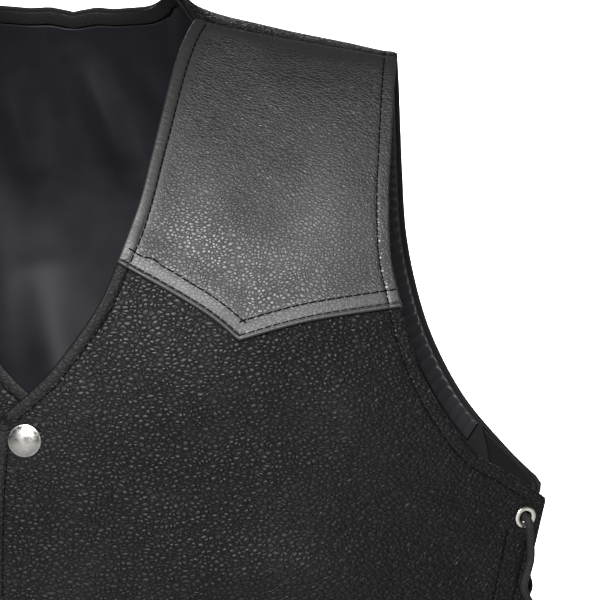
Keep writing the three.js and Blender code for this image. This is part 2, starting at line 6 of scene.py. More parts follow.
import bmesh
import bpy
import numpy as np
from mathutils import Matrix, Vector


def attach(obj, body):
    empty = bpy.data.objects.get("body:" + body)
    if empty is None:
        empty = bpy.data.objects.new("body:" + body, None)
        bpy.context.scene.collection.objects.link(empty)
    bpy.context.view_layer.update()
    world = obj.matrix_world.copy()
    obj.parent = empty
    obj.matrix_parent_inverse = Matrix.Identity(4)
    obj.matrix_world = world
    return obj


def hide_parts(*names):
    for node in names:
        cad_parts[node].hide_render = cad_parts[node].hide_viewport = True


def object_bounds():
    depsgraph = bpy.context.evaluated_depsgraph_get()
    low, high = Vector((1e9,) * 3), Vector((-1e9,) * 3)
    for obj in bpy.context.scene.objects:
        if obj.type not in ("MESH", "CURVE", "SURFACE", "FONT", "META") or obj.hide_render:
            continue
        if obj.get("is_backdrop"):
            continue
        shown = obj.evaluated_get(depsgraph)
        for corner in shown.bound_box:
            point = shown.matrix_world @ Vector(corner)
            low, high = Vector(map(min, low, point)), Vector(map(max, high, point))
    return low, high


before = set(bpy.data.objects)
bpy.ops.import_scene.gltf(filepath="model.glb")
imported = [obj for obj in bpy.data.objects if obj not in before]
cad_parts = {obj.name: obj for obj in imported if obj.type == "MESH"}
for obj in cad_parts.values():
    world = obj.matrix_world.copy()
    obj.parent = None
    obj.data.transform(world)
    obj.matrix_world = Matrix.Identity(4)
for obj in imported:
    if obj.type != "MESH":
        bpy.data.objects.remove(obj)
cadLow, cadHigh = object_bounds()
metres = 0.001
print("packed frame loaded")

# Camera: the photograph's view, 5.4 degrees round to the wearer's left and 8.5 above
shot = {"place": (0.4097, -3.0511, 0.3049), "tilt": 81.5, "turn": 5.4, "lens": 375}
cameraData = bpy.data.cameras.new("camera")
cameraData.lens = shot["lens"]
cameraData.clip_end = 100
camera = bpy.data.objects.new("camera", cameraData)
camera.location = shot["place"]
camera.rotation_euler = (radians(shot["tilt"]), 0, radians(shot["turn"]))
bpy.context.scene.collection.objects.link(camera)
bpy.context.scene.camera = camera

# Soft boxes: place, what each is turned to, its sides and its power
softBoxes = {
    "key": {"place": (0.12, -2.95, 1.14), "aim": (0.08, -0.1, -0.15),
            "sides": (0.9, 0.6), "power": 290},
    "back": {"place": (-0.9, 3.2, 0.9), "aim": (0, 0, -0.3), "sides": (1.6, 1.4), "power": 45},
    "far": {"place": (-0.4, 5.4, 0.0), "aim": (-0.4, 5.4, -1), "sides": (9.0, 2.4), "power": 560},
}
for name, box in softBoxes.items():
    lightData = bpy.data.lights.new(name, "AREA")
    lightData.shape = "RECTANGLE"
    lightData.size, lightData.size_y = box["sides"]
    lightData.energy = box["power"]
    light = bpy.data.objects.new(name, lightData)
    aim = np.array(box["aim"], float) - np.array(box["place"], float)
    light.location = box["place"]
    light.rotation_euler = (
        np.arctan2(np.hypot(aim[0], aim[1]), -aim[2]),
        0,
        np.arctan2(aim[1], aim[0]) - pi / 2,
    )
    bpy.context.scene.collection.objects.link(light)

world = bpy.data.worlds.new("studio")
world.use_nodes = True
world.node_tree.nodes["Background"].inputs["Color"].default_value = (0.94, 0.96, 1.0, 1)
world.node_tree.nodes["Background"].inputs["Strength"].default_value = 0.05
bpy.context.scene.world = world
bpy.context.scene.view_settings.view_transform = "Standard"

# The filled-out form under the cloth, row by row from the top
form = {
    "shoulderX": [0, 10, 20, 30, 50, 60, 72, 97, 135, 170, 260],
    "shoulderZ": [50, 49.5, 45.5, 38, 14, 0, -8, -15, -23, -30, -58],
    "z": [80, 0, -60, -120, -200, -260, -320, -420, -520, -640],
    "frontY": [70, 82, 97, 110, 118, 117, 114, 107, 105, 107],
    "frontFall": [60, 60, 61, 63, 65, 72, 78, 82, 81, 80],
    "frontCurve": [2.2, 2.2, 2.2, 2.2, 2.2, 2.5, 2.7, 2.9, 2.9, 2.9],
    "halfWidth": [255, 255, 255, 255, 255, 249, 241, 232, 234, 241],
    "backY": [62, 74, 86, 96, 100, 97, 92, 83, 85, 93],
    "backFall": [62, 70, 82, 91, 103, 101, 96, 88, 90, 92],
    "roll": 130,
    "backCurve": 2.6,
}
# Walls, the gap at a seam, the step of one layer over another, and where the inside layers start
cloth = {"leather": 1.6, "facing": 1.4, "lining": 1.0, "seam": 0.4, "layer": 2.1, "inner": -2.8}


# Smooth curve through a table: between rows t^2(3-2t) of the step plus slopes, where each
# row's slope is the harmonic mean of its two neighbours', so nothing overshoots
def readTable(keys, values, at):
    keys, values = np.asarray(keys, float), np.asarray(values, float)
    if keys[-1] < keys[0]:
        keys, values = keys[::-1], values[::-1]
    step = np.diff(keys)
    slope = np.diff(values) / step
    product, total = slope[:-1] * slope[1:], slope[:-1] + slope[1:]
    bends = product > 0
    tangent = np.zeros(len(keys))
    tangent[0], tangent[-1] = slope[0], slope[-1]
    tangent[1:-1][bends] = 2 * product[bends] / total[bends]
    i = np.clip(np.searchsorted(keys, at, side="right") - 1, 0, len(step) - 1)
    t = np.clip((at - keys[i]) / step[i], 0, 1)
    rise = t * t * (3 - 2 * t)
    return (
        (1 - rise) * values[i]
        + rise * values[i + 1]
        + t * (1 - t) ** 2 * step[i] * tangent[i]
        + t * t * (t - 1) * step[i] * tangent[i + 1]
    )


# Height of the shoulder line at x, the same on both sides
def shoulderHeight(x):
    return readTable(form["shoulderX"], form["shoulderZ"], np.abs(x))


# Point of the form at x, run behind the shoulder line (before it where run is negative):
# height falls by a quarter circle and then straight, depth is flat less a power of x
def formPoint(x, run):
    angle = np.minimum(np.abs(run) / form["roll"], pi / 2)
    below = np.maximum(np.abs(run) - form["roll"] * pi / 2, 0)
    z = shoulderHeight(x) - form["roll"] * (1 - np.cos(angle)) - below
    at = {name: readTable(form["z"], form[name], z)
          for name in ("frontY", "frontFall", "frontCurve", "halfWidth", "backY", "backFall")}
    out = np.abs(x) / at["halfWidth"]
    chestY = at["frontFall"] * out ** at["frontCurve"] - at["frontY"]
    spineY = at["backY"] - at["backFall"] * out ** form["backCurve"]
    return np.stack([x, np.where(run < 0, chestY, spineY) * np.sin(angle), z], -1)


# Run that brings the form at x down to z: the quarter circle's arc, then the straight rest
def runTo(x, z):
    fall = shoulderHeight(x) - z
    roll = form["roll"]
    arc = roll * np.arccos(1 - np.clip(fall, 0, roll) / roll)
    return arc + np.maximum(fall - roll, 0)


# Vectors brought to length one
def unit(vectors):
    return vectors / np.maximum(np.linalg.norm(vectors, axis=-1, keepdims=True), 1e-9)


# Slopes of the form over x and over run, as the difference between half a millimetre each way
def slopesAt(x, run, step=0.5):
    overX = (formPoint(x + step, run) - formPoint(x - step, run)) / (2 * step)
    overRun = (formPoint(x, run + step) - formPoint(x, run - step)) / (2 * step)
    return overX, overRun


# Way out of the form: the slope over x crossed with the slope over run
def outward(x, run):
    return unit(np.cross(*slopesAt(x, run)))


# Rise from 0 to 1 between low and high, as t^2(3-2t)
def smoothStep(low, high, value):
    t = np.clip((value - low) / (high - low), 0, 1)
    return t * t * (3 - 2 * t)


# Length of a line up to each of its points: the running sum of its straights
def lengthsAlong(points):
    return np.concatenate([[0], np.cumsum(np.linalg.norm(np.diff(points, axis=0), axis=1))])


# Points evenly spaced along a line, each worked out between its two neighbours
def respaced(points, count):
    lengths = lengthsAlong(points)
    at = np.linspace(0, lengths[-1], count)
    return np.stack([np.interp(at, lengths, column) for column in points.T], -1)


# Catmull-Rom curve through the rows: half of 2b + (c-a)t + (2a-5b+4c-d)t^2 + (3b-a-3c+d)t^3
def curveThrough(rows, count=401):
    rows = np.asarray(rows, float)
    last = len(rows) - 1
    u = np.linspace(0, last, last * 60 + 1)
    i = np.minimum(u.astype(int), last - 1)
    t = (u - i)[:, None]
    a, b = rows[np.maximum(i - 1, 0)], rows[i]
    c, d = rows[i + 1], rows[np.minimum(i + 2, last)]
    curve = 0.5 * (
        2 * b + (c - a) * t + (2 * a - 5 * b + 4 * c - d) * t**2 + (3 * b - a - 3 * c + d) * t**3
    )
    return respaced(curve, count)


# Rows of x and z as places on the form, x and run (side is -1 in front, 1 behind)
def placesOf(rows, side):
    rows = np.asarray(rows, float)
    return np.stack([rows[:, 0], side * runTo(rows[:, 0], rows[:, 1])], -1)


# A smooth outline through rows of x and z, as places on the form
def outline(rows, side, count=401):
    return placesOf(curveThrough(rows, count), side)


# Lines joined end to end, then evenly spaced
def chained(*lines, count=401):
    whole = np.concatenate([lines[0], *[line[1:] for line in lines[1:]]])
    return respaced(whole, count)


front, behind = -1, 1
pattern = {
    "shoulderSeam": [(71.5, -31), (170, -18)],
    "neckAtYoke": [(66, -27), (62, -48), (58, -70), (53, -93), (43.5, -120)],
    "armholeAtYoke": [(170.5, -45), (170.8, -69), (171, -93), (173, -120), (178, -143.5)],
    "yokeToPoint": [(43.5, -120), (83.5, -143), (101.5, -157.5)],
    "yokeFromPoint": [(101.5, -157.5), (134.5, -149), (178, -143.5)],
    "neckBelowYoke": [(48, -110), (43.5, -120), (36.5, -137), (28, -151), (12.5, -171.5),
                      (2.8, -181.5), (-11.5, -194)],
    "frontEdge": [(-11.5, -194), (-15, -213), (-17.5, -270), (-17, -420), (-16, -624)],
    "armholeBelowYoke": [(175.5, -134), (183.5, -162.5), (194.5, -188.5), (211.5, -214.3),
                         (229, -227), (245.6, -240.3)],
    "frontSide": [(245.6, -240.3), (246.6, -243.4), (243.5, -258), (235.5, -295), (229, -345),
                  (225, -420), (227, -520), (232, -612)],
    "frontHem": [(-16, -624), (60, -621), (150, -615), (232, -612)],
    "backNeck": [(0, -17.4), (25, -15), (46.5, -9.2)],
    "backShoulder": [(168.5, -36), (168, -60)],
    "backArmhole": [(168, -60), (168, -93), (169.5, -127), (175.8, -158), (185.5, -183.5),
                    (201.5, -209), (223.5, -230), (239.8, -241.9)],
    "backSide": [(239.8, -241.9), (241.4, -247), (237.4, -260), (230.4, -293), (224.4, -345),
                 (221, -420), (223.4, -520), (229, -612)],
    "backHem": [(0, -616), (120, -614), (229, -612)],
    "facingTop": [(212.5, -221.3), (224, -231), (239.2, -242.4)],
    "facingInner": [(212.5, -221.3), (217, -246), (211.5, -293), (205, -345), (200.3, -420),
                    (202, -520), (207, -611)],
}


seam = np.array(pattern["shoulderSeam"], float)
neckYoke = curveThrough(np.vstack([seam[:1], placesOf(pattern["neckAtYoke"], front)]))
armholeYoke = curveThrough(np.vstack([seam[1:], placesOf(pattern["armholeAtYoke"], front)]))
yokeEdge = chained(outline(pattern["yokeToPoint"], front), outline(pattern["yokeFromPoint"], front))
backNeckLine = curveThrough(np.vstack([placesOf(pattern["backNeck"], behind), [(63, 0)], seam[:1]]))
backShoulderLine = curveThrough(
    np.vstack([[(170, -17.6), (169.5, 0)], placesOf(pattern["backShoulder"], behind)]))
backArmholeLine = chained(backShoulderLine, outline(pattern["backArmhole"], behind), count=801)


# Surface filled in between four outlines: top to bottom plus left to right less the corners
def patchAt(top, bottom, left, right, u, v):
    def along(line, t):
        at = np.linspace(0, 1, len(line))
        return np.stack([np.interp(t, at, line[:, 0]), np.interp(t, at, line[:, 1])], -1)
    uu, vv = u[..., None], v[..., None]
    corners = (
        (1 - vv) * ((1 - uu) * top[0] + uu * top[-1]) + vv * ((1 - uu) * bottom[0] + uu * bottom[-1])
    )
    return (
        (1 - vv) * along(top, u) + vv * along(bottom, u)
        + (1 - uu) * along(left, v) + uu * along(right, v) - corners
    )


# Millimetres from an edge to each of its first grid lines
edgeSteps = np.array([0, 0.25, 0.7, 1.3, 2.2, 3.2, 4.2, 5.0, 5.6, 6.1, 6.6, 7.2, 8.2, 9.8, 12])


# Shares of a width: close together beside its ends, in edgeSteps, and even between. An end that
# lies on the middle of a panel has no such steps.
def sharesAcross(widths, pitch, closeAtStart=True):
    start = edgeSteps if closeAtStart else edgeSteps[:1]
    between = max(int((np.max(widths) - start[-1] - edgeSteps[-1]) / pitch), 4)
    t = np.arange(1, between + 1) / (between + 1)
    widths = np.asarray(widths)[..., None]
    middle = start[-1] + (widths - start[-1] - edgeSteps[-1]) * t
    return np.concatenate(
        [start + 0 * widths, middle, widths - edgeSteps[::-1]], -1) / widths


# Values read again at another count, each between its two neighbours
def resampled(values, count):
    return np.interp(np.linspace(0, 1, count), np.linspace(0, 1, len(values)), values)


# Grid of places over a patch, rows from top to bottom, finer beside its edges
def panelPlaces(top, bottom, left, right, pitch, closeAtLeft=True):
    tries = np.linspace(0, 1, 61)
    u, v = np.meshgrid(tries, tries)
    rough = patchAt(top, bottom, left, right, u, v)
    points = formPoint(rough[..., 0], rough[..., 1])
    widths = np.linalg.norm(np.diff(points, axis=1), axis=-1).sum(1)
    heights = np.linalg.norm(np.diff(points, axis=0), axis=-1).sum(0)
    middleV = sharesAcross(np.mean(heights), pitch)
    middleU = sharesAcross(np.mean(widths), pitch, closeAtLeft)
    rows = sharesAcross(np.interp(middleV, tries, widths), pitch, closeAtLeft)
    columns = sharesAcross(np.interp(middleU, tries, heights), pitch)
    u = np.stack([resampled(row, len(middleU)) for row in rows])
    v = np.stack([resampled(column, len(middleV)) for column in columns], -1)
    places = patchAt(top, bottom, left, right, u, v)
    return places[..., 0], places[..., 1]


# Shortest way from each point to a line of short straights, and how far along it that is
def nearestOn(points, line, block=8000):
    flat = points.reshape(-1, 3)
    start, way = line[:-1], np.diff(line, axis=0)
    square = np.maximum((way**2).sum(1), 1e-12)
    lengths = lengthsAlong(line)
    best, along = np.empty(len(flat)), np.empty(len(flat))
    for first in range(0, len(flat), block):
        gap = flat[first:first + block, None] - start[None]
        t = np.clip((gap * way[None]).sum(-1) / square, 0, 1)
        distance = ((gap - way[None] * t[..., None]) ** 2).sum(-1)
        k = distance.argmin(1)
        rows = np.arange(len(k))
        best[first:first + block] = np.sqrt(distance[rows, k])
        along[first:first + block] = lengths[k] + t[rows, k] * np.sqrt(square[k])
    return best.reshape(points.shape[:-1]), along.reshape(points.shape[:-1])


# A line of places moved over the form by a true distance, to the right of its direction where
# positive: one step of the form's own slopes brings the move back to x and run
def movedAside(places, distance):
    x, run = places[:, 0], places[:, 1]
    overX, overRun = slopesAt(x, run)
    along = unit(np.gradient(formPoint(x, run), axis=0))
    aside = np.cross(along, outward(x, run)) * distance
    xx, xr, rr = (overX**2).sum(1), (overX * overRun).sum(1), (overRun**2).sum(1)
    bx, br = (aside * overX).sum(1), (aside * overRun).sum(1)
    det = xx * rr - xr * xr
    return np.stack([x + (bx * rr - br * xr) / det, run + (br * xx - bx * xr) / det], -1)


# Soft folds: each row runs from one end through a middle to the other, as x and z, and then has
# its width and its height, negative for a trough. Height dies away as exp(-(distance/width)^2)
# across and as a sine towards the ends.
def foldHeight(points, folds):
    height = np.zeros(points.shape[:-1])
    t = np.linspace(0, 1, 15)[:, None]
    flat = points * np.array([1, 0, 1])
    for ax, az, mx, mz, bx, bz, width, depth in folds:
        a, m, b = (np.array([x, 0, z], float) for x, z in ((ax, az), (mx, mz), (bx, bz)))
        bend = 2 * m - (a + b) / 2
        line = (1 - t) ** 2 * a + 2 * t * (1 - t) * bend + t**2 * b
        distance, along = nearestOn(flat, line)
        share = along / lengthsAlong(line)[-1]
        height += depth * np.exp(-((distance / width) ** 2)) * np.sin(pi * (0.06 + 0.88 * share))
    return height


# Slow unevenness of worn leather: three crossing waves
def unevenness(points):
    x, z = points[..., 0], points[..., 2]
    return (
        0.22 * np.sin(x / 13 + 1.3) * np.sin(z / 17 + 0.4)
        + 0.16 * np.sin((x + z) / 9.1) * np.sin((x - 1.3 * z) / 21)
        + 0.1 * np.sin(x / 6.3 + z / 11.7)
    )


# How far from a stitch row or an edge its own relief reaches, and where the folds fade in
relief = {
    "ridge": 0.35, "ridgeTo": 2.5, "proudFrom": 0.5, "proudTo": 4.5, "grooveWidth": 0.7,
    "foldsFrom": 2, "foldsTo": 14, "quietFrom": 8, "quietTo": 30,
}


# Height of a panel's face over the form: its lift, folds and unevenness, and at each turned
# edge a roll of a quarter circle, a swelling up to the stitch row and a groove along it
def faceHeight(panel, x, run, points):
    height = panel["lift"](x, run, points)
    nearest = np.full(x.shape, 1e9)
    along = np.zeros(x.shape)
    roll = np.zeros(x.shape)
    fade = np.ones(x.shape)
    for edge in panel["edges"]:
        distance, at = nearestOn(points, edge["line"])
        pastRow = distance - edge["row"]
        r = edge["roll"]
        roll = np.maximum(roll, r - np.sqrt(r * r - np.clip(r - distance, 0, r) ** 2))
        inside = np.clip(distance / edge["row"], 0, 1)
        height = height + edge["swell"] * np.sin(pi * inside**0.8) ** 1.2
        height = height + edge["swell"] * relief["ridge"] * (
            1 - smoothStep(0, relief["ridgeTo"], pastRow))
        height = height + edge["proud"] * (
            1 - smoothStep(relief["proudFrom"], relief["proudTo"], distance))
        height = height - edge["groove"] * np.exp(-((pastRow / relief["grooveWidth"]) ** 2))
        fade = fade * smoothStep(relief["foldsFrom"], relief["foldsTo"], distance)
        closer = distance + edge["grainy"] < nearest
        nearest = np.where(closer, distance + edge["grainy"], nearest)
        along = np.where(closer, at, along)
    for line in panel["quiet"]:
        distance = nearestOn(points, line)[0]
        fade = fade * smoothStep(relief["quietFrom"], relief["quietTo"], distance)
    height = height + fade * (foldHeight(points, panel["folds"]) + unevenness(points))
    return height, roll, nearest, along


# A mesh of smooth quads from arrays of points and corner numbers
def meshOf(name, points, faces):
    mesh = bpy.data.meshes.new(name)
    faces = np.asarray(faces, np.int32)
    mesh.vertices.add(len(points))
    mesh.vertices.foreach_set("co", np.ascontiguousarray(points, np.float32).ravel())
    mesh.loops.add(faces.size)
    mesh.loops.foreach_set("vertex_index", faces.ravel())
    mesh.polygons.add(len(faces))
    mesh.polygons.foreach_set("loop_start", np.arange(len(faces), dtype=np.int32) * faces.shape[1])
    mesh.polygons.foreach_set("use_smooth", np.ones(len(faces), bool))
    mesh.update(calc_edges=True)
    return mesh


# A map named run: each corner of a face takes its point's own pair
def addUv(mesh, perVertex):
    loops = np.empty(len(mesh.loops), np.int32)
    mesh.loops.foreach_get("vertex_index", loops)
    layer = mesh.uv_layers.new(name="run")
    layer.data.foreach_set("uv", perVertex[loops].astype(np.float32).ravel())


# A mesh as an object of the scene, with its materials in order
def pieceOf(name, mesh, materials):
    piece = bpy.data.objects.new(name, mesh)
    bpy.context.scene.collection.objects.link(piece)
    for material in materials:
        mesh.materials.append(material)
    return piece


# Closed wall on a grid: outer face, inner face, and a rim that joins their borders. The faces
# are turned over where the grid's cross product at its middle points inwards.
def wallMesh(name, outer, inner, uv, materials):
    rows, columns = outer.shape[:2]
    count = rows * columns
    points = np.concatenate([outer.reshape(-1, 3), inner.reshape(-1, 3)]) * metres
    ids = np.arange(count).reshape(rows, columns)
    a, b = ids[:-1, :-1].ravel(), ids[:-1, 1:].ravel()
    c, d = ids[1:, 1:].ravel(), ids[1:, :-1].ravel()
    face = np.stack([a, b, c, d], 1)
    back = np.stack([a, d, c, b], 1) + count
    border = np.concatenate([ids[0, :-1], ids[:-1, -1], ids[-1, :0:-1], ids[:0:-1, 0]])
    after = np.roll(border, -1)
    rim = np.stack([after, border, border + count, after + count], 1)
    quads = np.concatenate([face, back, rim])
    i, j = rows // 2, columns // 2
    turn = np.cross(outer[i, j + 1] - outer[i, j], outer[i + 1, j] - outer[i, j])
    if np.dot(turn, outer[i, j] - inner[i, j]) < 0:
        quads = quads[:, ::-1]
    mesh = meshOf(name, points, quads)
    addUv(mesh, np.tile(uv.reshape(-1, 2), (2, 1)))
    piece = pieceOf(name, mesh, materials)
    slots = np.zeros(len(quads), np.int32)
    slots[len(face):len(face) + len(back)] = len(materials) - 1
    mesh.polygons.foreach_set("material_index", slots)
    return piece


# Doubles merged and every face turned outwards
def turnOutward(piece):
    work = bmesh.new()
    work.from_mesh(piece.data)
    bmesh.ops.remove_doubles(work, verts=work.verts, dist=1e-6)
    bmesh.ops.recalc_face_normals(work, faces=work.faces)
    work.to_mesh(piece.data)
    work.free()


# The nodes of one material: each helper adds a node and gives back what it puts out
class Finish:
    def __init__(self, name):
        self.material = bpy.data.materials.new(name)
        self.material.use_nodes = True
        self.tree = self.material.node_tree

    # A number or a colour goes on the socket itself, and what a node puts out is linked to it
    def feed(self, socket, value):
        if isinstance(value, bpy.types.NodeSocket):
            self.tree.links.new(value, socket)
        else:
            socket.default_value = value

    # A node with its settings, its sockets fed by name or by number
    def node(self, kind, inputs, **settings):
        node = self.tree.nodes.new("ShaderNode" + kind)
        for key, value in settings.items():
            setattr(node, key, value)
        for key, value in inputs.items():
            self.feed(node.inputs[key], value)
        return node.outputs

    # The material, once the sockets of its shader are fed
    def surface(self, inputs):
        for key, value in inputs.items():
            self.feed(self.tree.nodes["Principled BSDF"].inputs[key], value)
        return self.material

    # Places of the surface, in metres
    def places(self):
        return self.node("TexCoord", {})["Object"]

    # The piece's own map: all of it, length along the piece, and way in from its edge or round it
    def ownMap(self):
        run = self.node("UVMap", {}, uv_map="run")["UV"]
        split = self.node("SeparateXYZ", {0: run})
        return run, split["X"], split["Y"]

    # Two values joined by one operation
    def maths(self, operation, first, second=0.0, clamp=False):
        return self.node("Math", {0: first, 1: second}, operation=operation, use_clamp=clamp)[0]

    # A value carried from one range to another, smoothly or straight, and held at its ends
    def ranged(self, value, low, high, toLow, toHigh, smooth=True):
        inputs = {"Value": value, "From Min": low, "From Max": high, "To Min": toLow, "To Max": toHigh}
        return self.node("MapRange", inputs, interpolation_type="SMOOTHSTEP" if smooth else "LINEAR")[0]

    # Soft noise from 0 to 1, or as a colour
    def noise(self, vector, scale, detail, rough=0.5, output="Fac"):
        inputs = {"Vector": vector, "Scale": scale, "Detail": detail, "Roughness": rough}
        return self.node("TexNoise", inputs)[output]

    # Places stretched along each axis, then turned about y by the slant
    def scaled(self, vector, scale, slant=0):
        inputs = {"Vector": vector, "Scale": scale, "Rotation": (0, radians(slant), 0)}
        return self.node("Mapping", inputs)["Vector"]

    # How far a place is from the middle of its cell, or from the cell's edge
    def cells(self, vector, feature, inputs):
        return self.node("TexVoronoi", {"Vector": vector, **inputs}, feature=feature)["Distance"]

    # A colour between two others
    def mixed(self, factor, first, second):
        return self.node("Mix", {0: factor, 6: first, 7: second}, data_type="RGBA")[2]

    # The way the surface faces, tipped by the slope of a height
    def bumped(self, height, strength, depth):
        inputs = {"Height": height, "Strength": strength, "Distance": depth}
        return self.node("Bump", inputs)["Normal"]


# Pebbled leather: rounded cells with fine grooves between them, pushed about by noise, over a
# finer grain. Beside a turned edge the cells flatten and small wrinkles cross the edge. The
# grooves and the hollows between the domes are painted darker, as painted shade.
def leatherMaterial(name, look):
    finish = Finish(name)
    maths, ranged, noise = finish.maths, finish.ranged, finish.noise
    places = finish.places()
    drift = noise(places, look["driftScale"], 2, output="Color")
    moved = finish.node("Mix", {0: look["drift"], 4: places, 5: drift}, data_type="VECTOR")[1]
    stretched = finish.scaled(moved, look["stretch"], look["slant"])
    edges = finish.cells(stretched, "DISTANCE_TO_EDGE", {"Scale": look["cells"]})
    middles = finish.cells(
        stretched, "SMOOTH_F1", {"Scale": look["cells"], "Smoothness": look["domeSmooth"]})
    crack = ranged(edges, 0, look["groove"], 1, 0)
    dome = ranged(middles, 0, look["domeWidth"], 1, 0)
    grain = noise(places, look["grainScale"], 3, 0.6)
    patchy = ranged(noise(places, look["patchScale"], 3), 0.35, 0.65, look["patchLow"], 1)
    ownPlaces, _, inward = finish.ownMap()
    plain = ranged(inward, look["plainTo"] * 0.6, look["plainTo"] * 1.5, 0, 1)
    strength = maths("MULTIPLY", patchy, ranged(plain, 0, 1, look["edgeGrain"], 1, False))
    wrinkle = noise(finish.scaled(ownPlaces, look["wrinkleScale"]), 1, 2)
    wrinkles = maths("MULTIPLY", wrinkle, ranged(inward, *look["wrinkleReach"], 1, 0))
    raised = maths("SUBTRACT", maths("MULTIPLY", dome, look["dome"]),
                   maths("MULTIPLY", crack, look["crease"]))
    height = maths("MULTIPLY", raised, strength)
    for layer, share in ((grain, look["grain"]), (wrinkles, look["wrinkle"])):
        height = maths("ADD", height, maths("MULTIPLY", layer, share))
    # Painted shade: the hollows between the domes and the grooves are painted darker, towards the dark
    # tone, as far as the grain shows
    low = maths("MULTIPLY", maths("SUBTRACT", 1.0, dome), strength)
    low = maths("ADD", low, maths("MULTIPLY", crack, look["grooveShade"]), True)
    flat = finish.mixed(plain, look["band"], look["light"])
    rough = ranged(low, 0, 1, look["rough"], look["rough"] + look["lowRough"])
    return finish.surface({
        "Normal": finish.bumped(height, look["bump"], look["depth"]),
        "Base Color": finish.mixed(low, flat, look["dark"]),
        "Roughness": maths("ADD", rough, ranged(plain, 0, 1, look["bandRough"], 0)),
        "Specular IOR Level": look["specular"],
    })


leather = {
    "cells": 440, "groove": 0.16, "stretch": (0.8, 1, 1.15), "slant": 28,
    "driftScale": 55, "drift": 0.006, "domeSmooth": 0.35, "domeWidth": 0.62,
    "patchScale": 14, "patchLow": 0.6, "grainScale": 2600, "grain": 0.12,
    "bump": 1.0, "depth": 0.0006, "dome": 0.45, "crease": 0.75,
    "wrinkleScale": (330, 60, 1), "wrinkleReach": (0.0015, 0.0095), "wrinkle": 1.0,
    # the grooves and hollows of the grain are painted darker towards the dark tone below, as painted
    # shade
    "plainTo": 0.0052, "edgeGrain": 0.3, "grooveShade": 0.3,
    "dark": (0.001, 0.001, 0.001, 1), "light": (0.004, 0.004, 0.0041, 1),
    "band": (0.003, 0.003, 0.003, 1),
    "rough": 0.35, "lowRough": 0.25, "bandRough": 0.2, "specular": 0.16,
}
panelLeather = leatherMaterial("panel leather", leather)
yokeLeather = leatherMaterial("yoke leather", {
    **leather, "cells": 590, "slant": -20, "bump": 0.8, "depth": 0.00032, "dome": 0.28,
    "plainTo": 0.009, "edgeGrain": 0.2, "light": (0.006, 0.006, 0.0061, 1),
    "band": (0.006, 0.006, 0.0061, 1), "rough": 0.41, "bandRough": 0.12, "specular": 0.68})
trimLeather = leatherMaterial("trim leather", {
    **leather, "cells": 620, "bump": 0.4, "depth": 0.0003, "light": (0.006, 0.006, 0.0061, 1),
    "rough": 0.52, "specular": 0.2})


fuzzy = {
    "scale": 1400, "bump": 0.5, "depth": 0.0003, "rough": 0.85, "specular": 0.2,
    "dark": (0.003, 0.003, 0.0033, 1), "light": (0.007, 0.007, 0.0072, 1),
}


# Flesh side of the leather: short fuzz, no gloss
def fleshMaterial():
    finish = Finish("flesh side")
    fuzz = finish.noise(finish.places(), fuzzy["scale"], 4, 0.7)
    return finish.surface({
        "Normal": finish.bumped(fuzz, fuzzy["bump"], fuzzy["depth"]),
        "Base Color": finish.mixed(fuzz, fuzzy["dark"], fuzzy["light"]),
        "Roughness": fuzzy["rough"], "Specular IOR Level": fuzzy["specular"],
    })


woven = {
    "twillScale": 420, "waver": 0.6, "mottleScale": 90, "bump": 0.25, "depth": 0.00012,
    "rough": (0.4, 0.5), "specular": 0.2, "sheen": 0.02, "sheenRough": 0.4,
}


# Satin: fine diagonal twill lines through the cloth, with a soft mottled gloss
def satinMaterial(name, low, high):
    finish = Finish(name)
    places = finish.places()
    lines = {"Vector": places, "Scale": woven["twillScale"], "Distortion": woven["waver"]}
    twill = finish.node("TexWave", lines, bands_direction="DIAGONAL")["Fac"]
    mottle = finish.noise(places, woven["mottleScale"], 3)
    return finish.surface({
        "Normal": finish.bumped(twill, woven["bump"], woven["depth"]),
        "Base Color": finish.mixed(mottle, low, high),
        "Roughness": finish.ranged(mottle, 0, 1, *woven["rough"]),
        "Specular IOR Level": woven["specular"],
        "Sheen Weight": woven["sheen"], "Sheen Roughness": woven["sheenRough"],
    })


worn = {
    "scratchScale": (3000, 3000, 300), "cloudScale": 420, "clouds": (0.3, 0.7),
    "rough": (0.24, 0.4), "bump": 0.12, "depth": 0.0001,
}


# Nickel: bright metal with fine scratches and a cloudy wear of its gloss
def nickelMaterial(name, low, high):
    finish = Finish(name)
    places = finish.places()
    scratches = finish.noise(finish.scaled(places, worn["scratchScale"]), 1, 2)
    clouds = finish.noise(places, worn["cloudScale"], 3)
    return finish.surface({
        "Normal": finish.bumped(scratches, worn["bump"], worn["depth"]),
        "Base Color": finish.mixed(clouds, low, high),
        "Roughness": finish.ranged(clouds, *worn["clouds"], *worn["rough"]), "Metallic": 1,
    })


braid = {"between": 0.35, "bump": 0.7, "depth": 0.00018}


# Thread and braided cord: strands that cross each other, as the higher of two sines of the
# length along the piece plus and less the turn round it. The hollows between the strands are
# painted darker, as painted shade.
def cordMaterial(name, pitch, around, tone, rough, specular):
    finish = Finish(name)
    _, run, share = finish.ownMap()
    along = finish.maths("MULTIPLY", run, 2 * pi / pitch)
    turn = finish.maths("MULTIPLY", share, 2 * pi * around)
    height = finish.maths("MAXIMUM", finish.maths("SINE", finish.maths("ADD", along, turn)),
                          finish.maths("SINE", finish.maths("SUBTRACT", along, turn)))
    # Painted shade: the colour falls to a share of the tone in the hollows between the strands
    between = (*(braid["between"] * part for part in tone[:3]), 1)
    return finish.surface({
        "Normal": finish.bumped(height, braid["bump"], braid["depth"]),
        "Base Color": finish.mixed(finish.ranged(height, -1, 1, 0, 1), between, tone),
        "Roughness": rough, "Specular IOR Level": specular,
    })


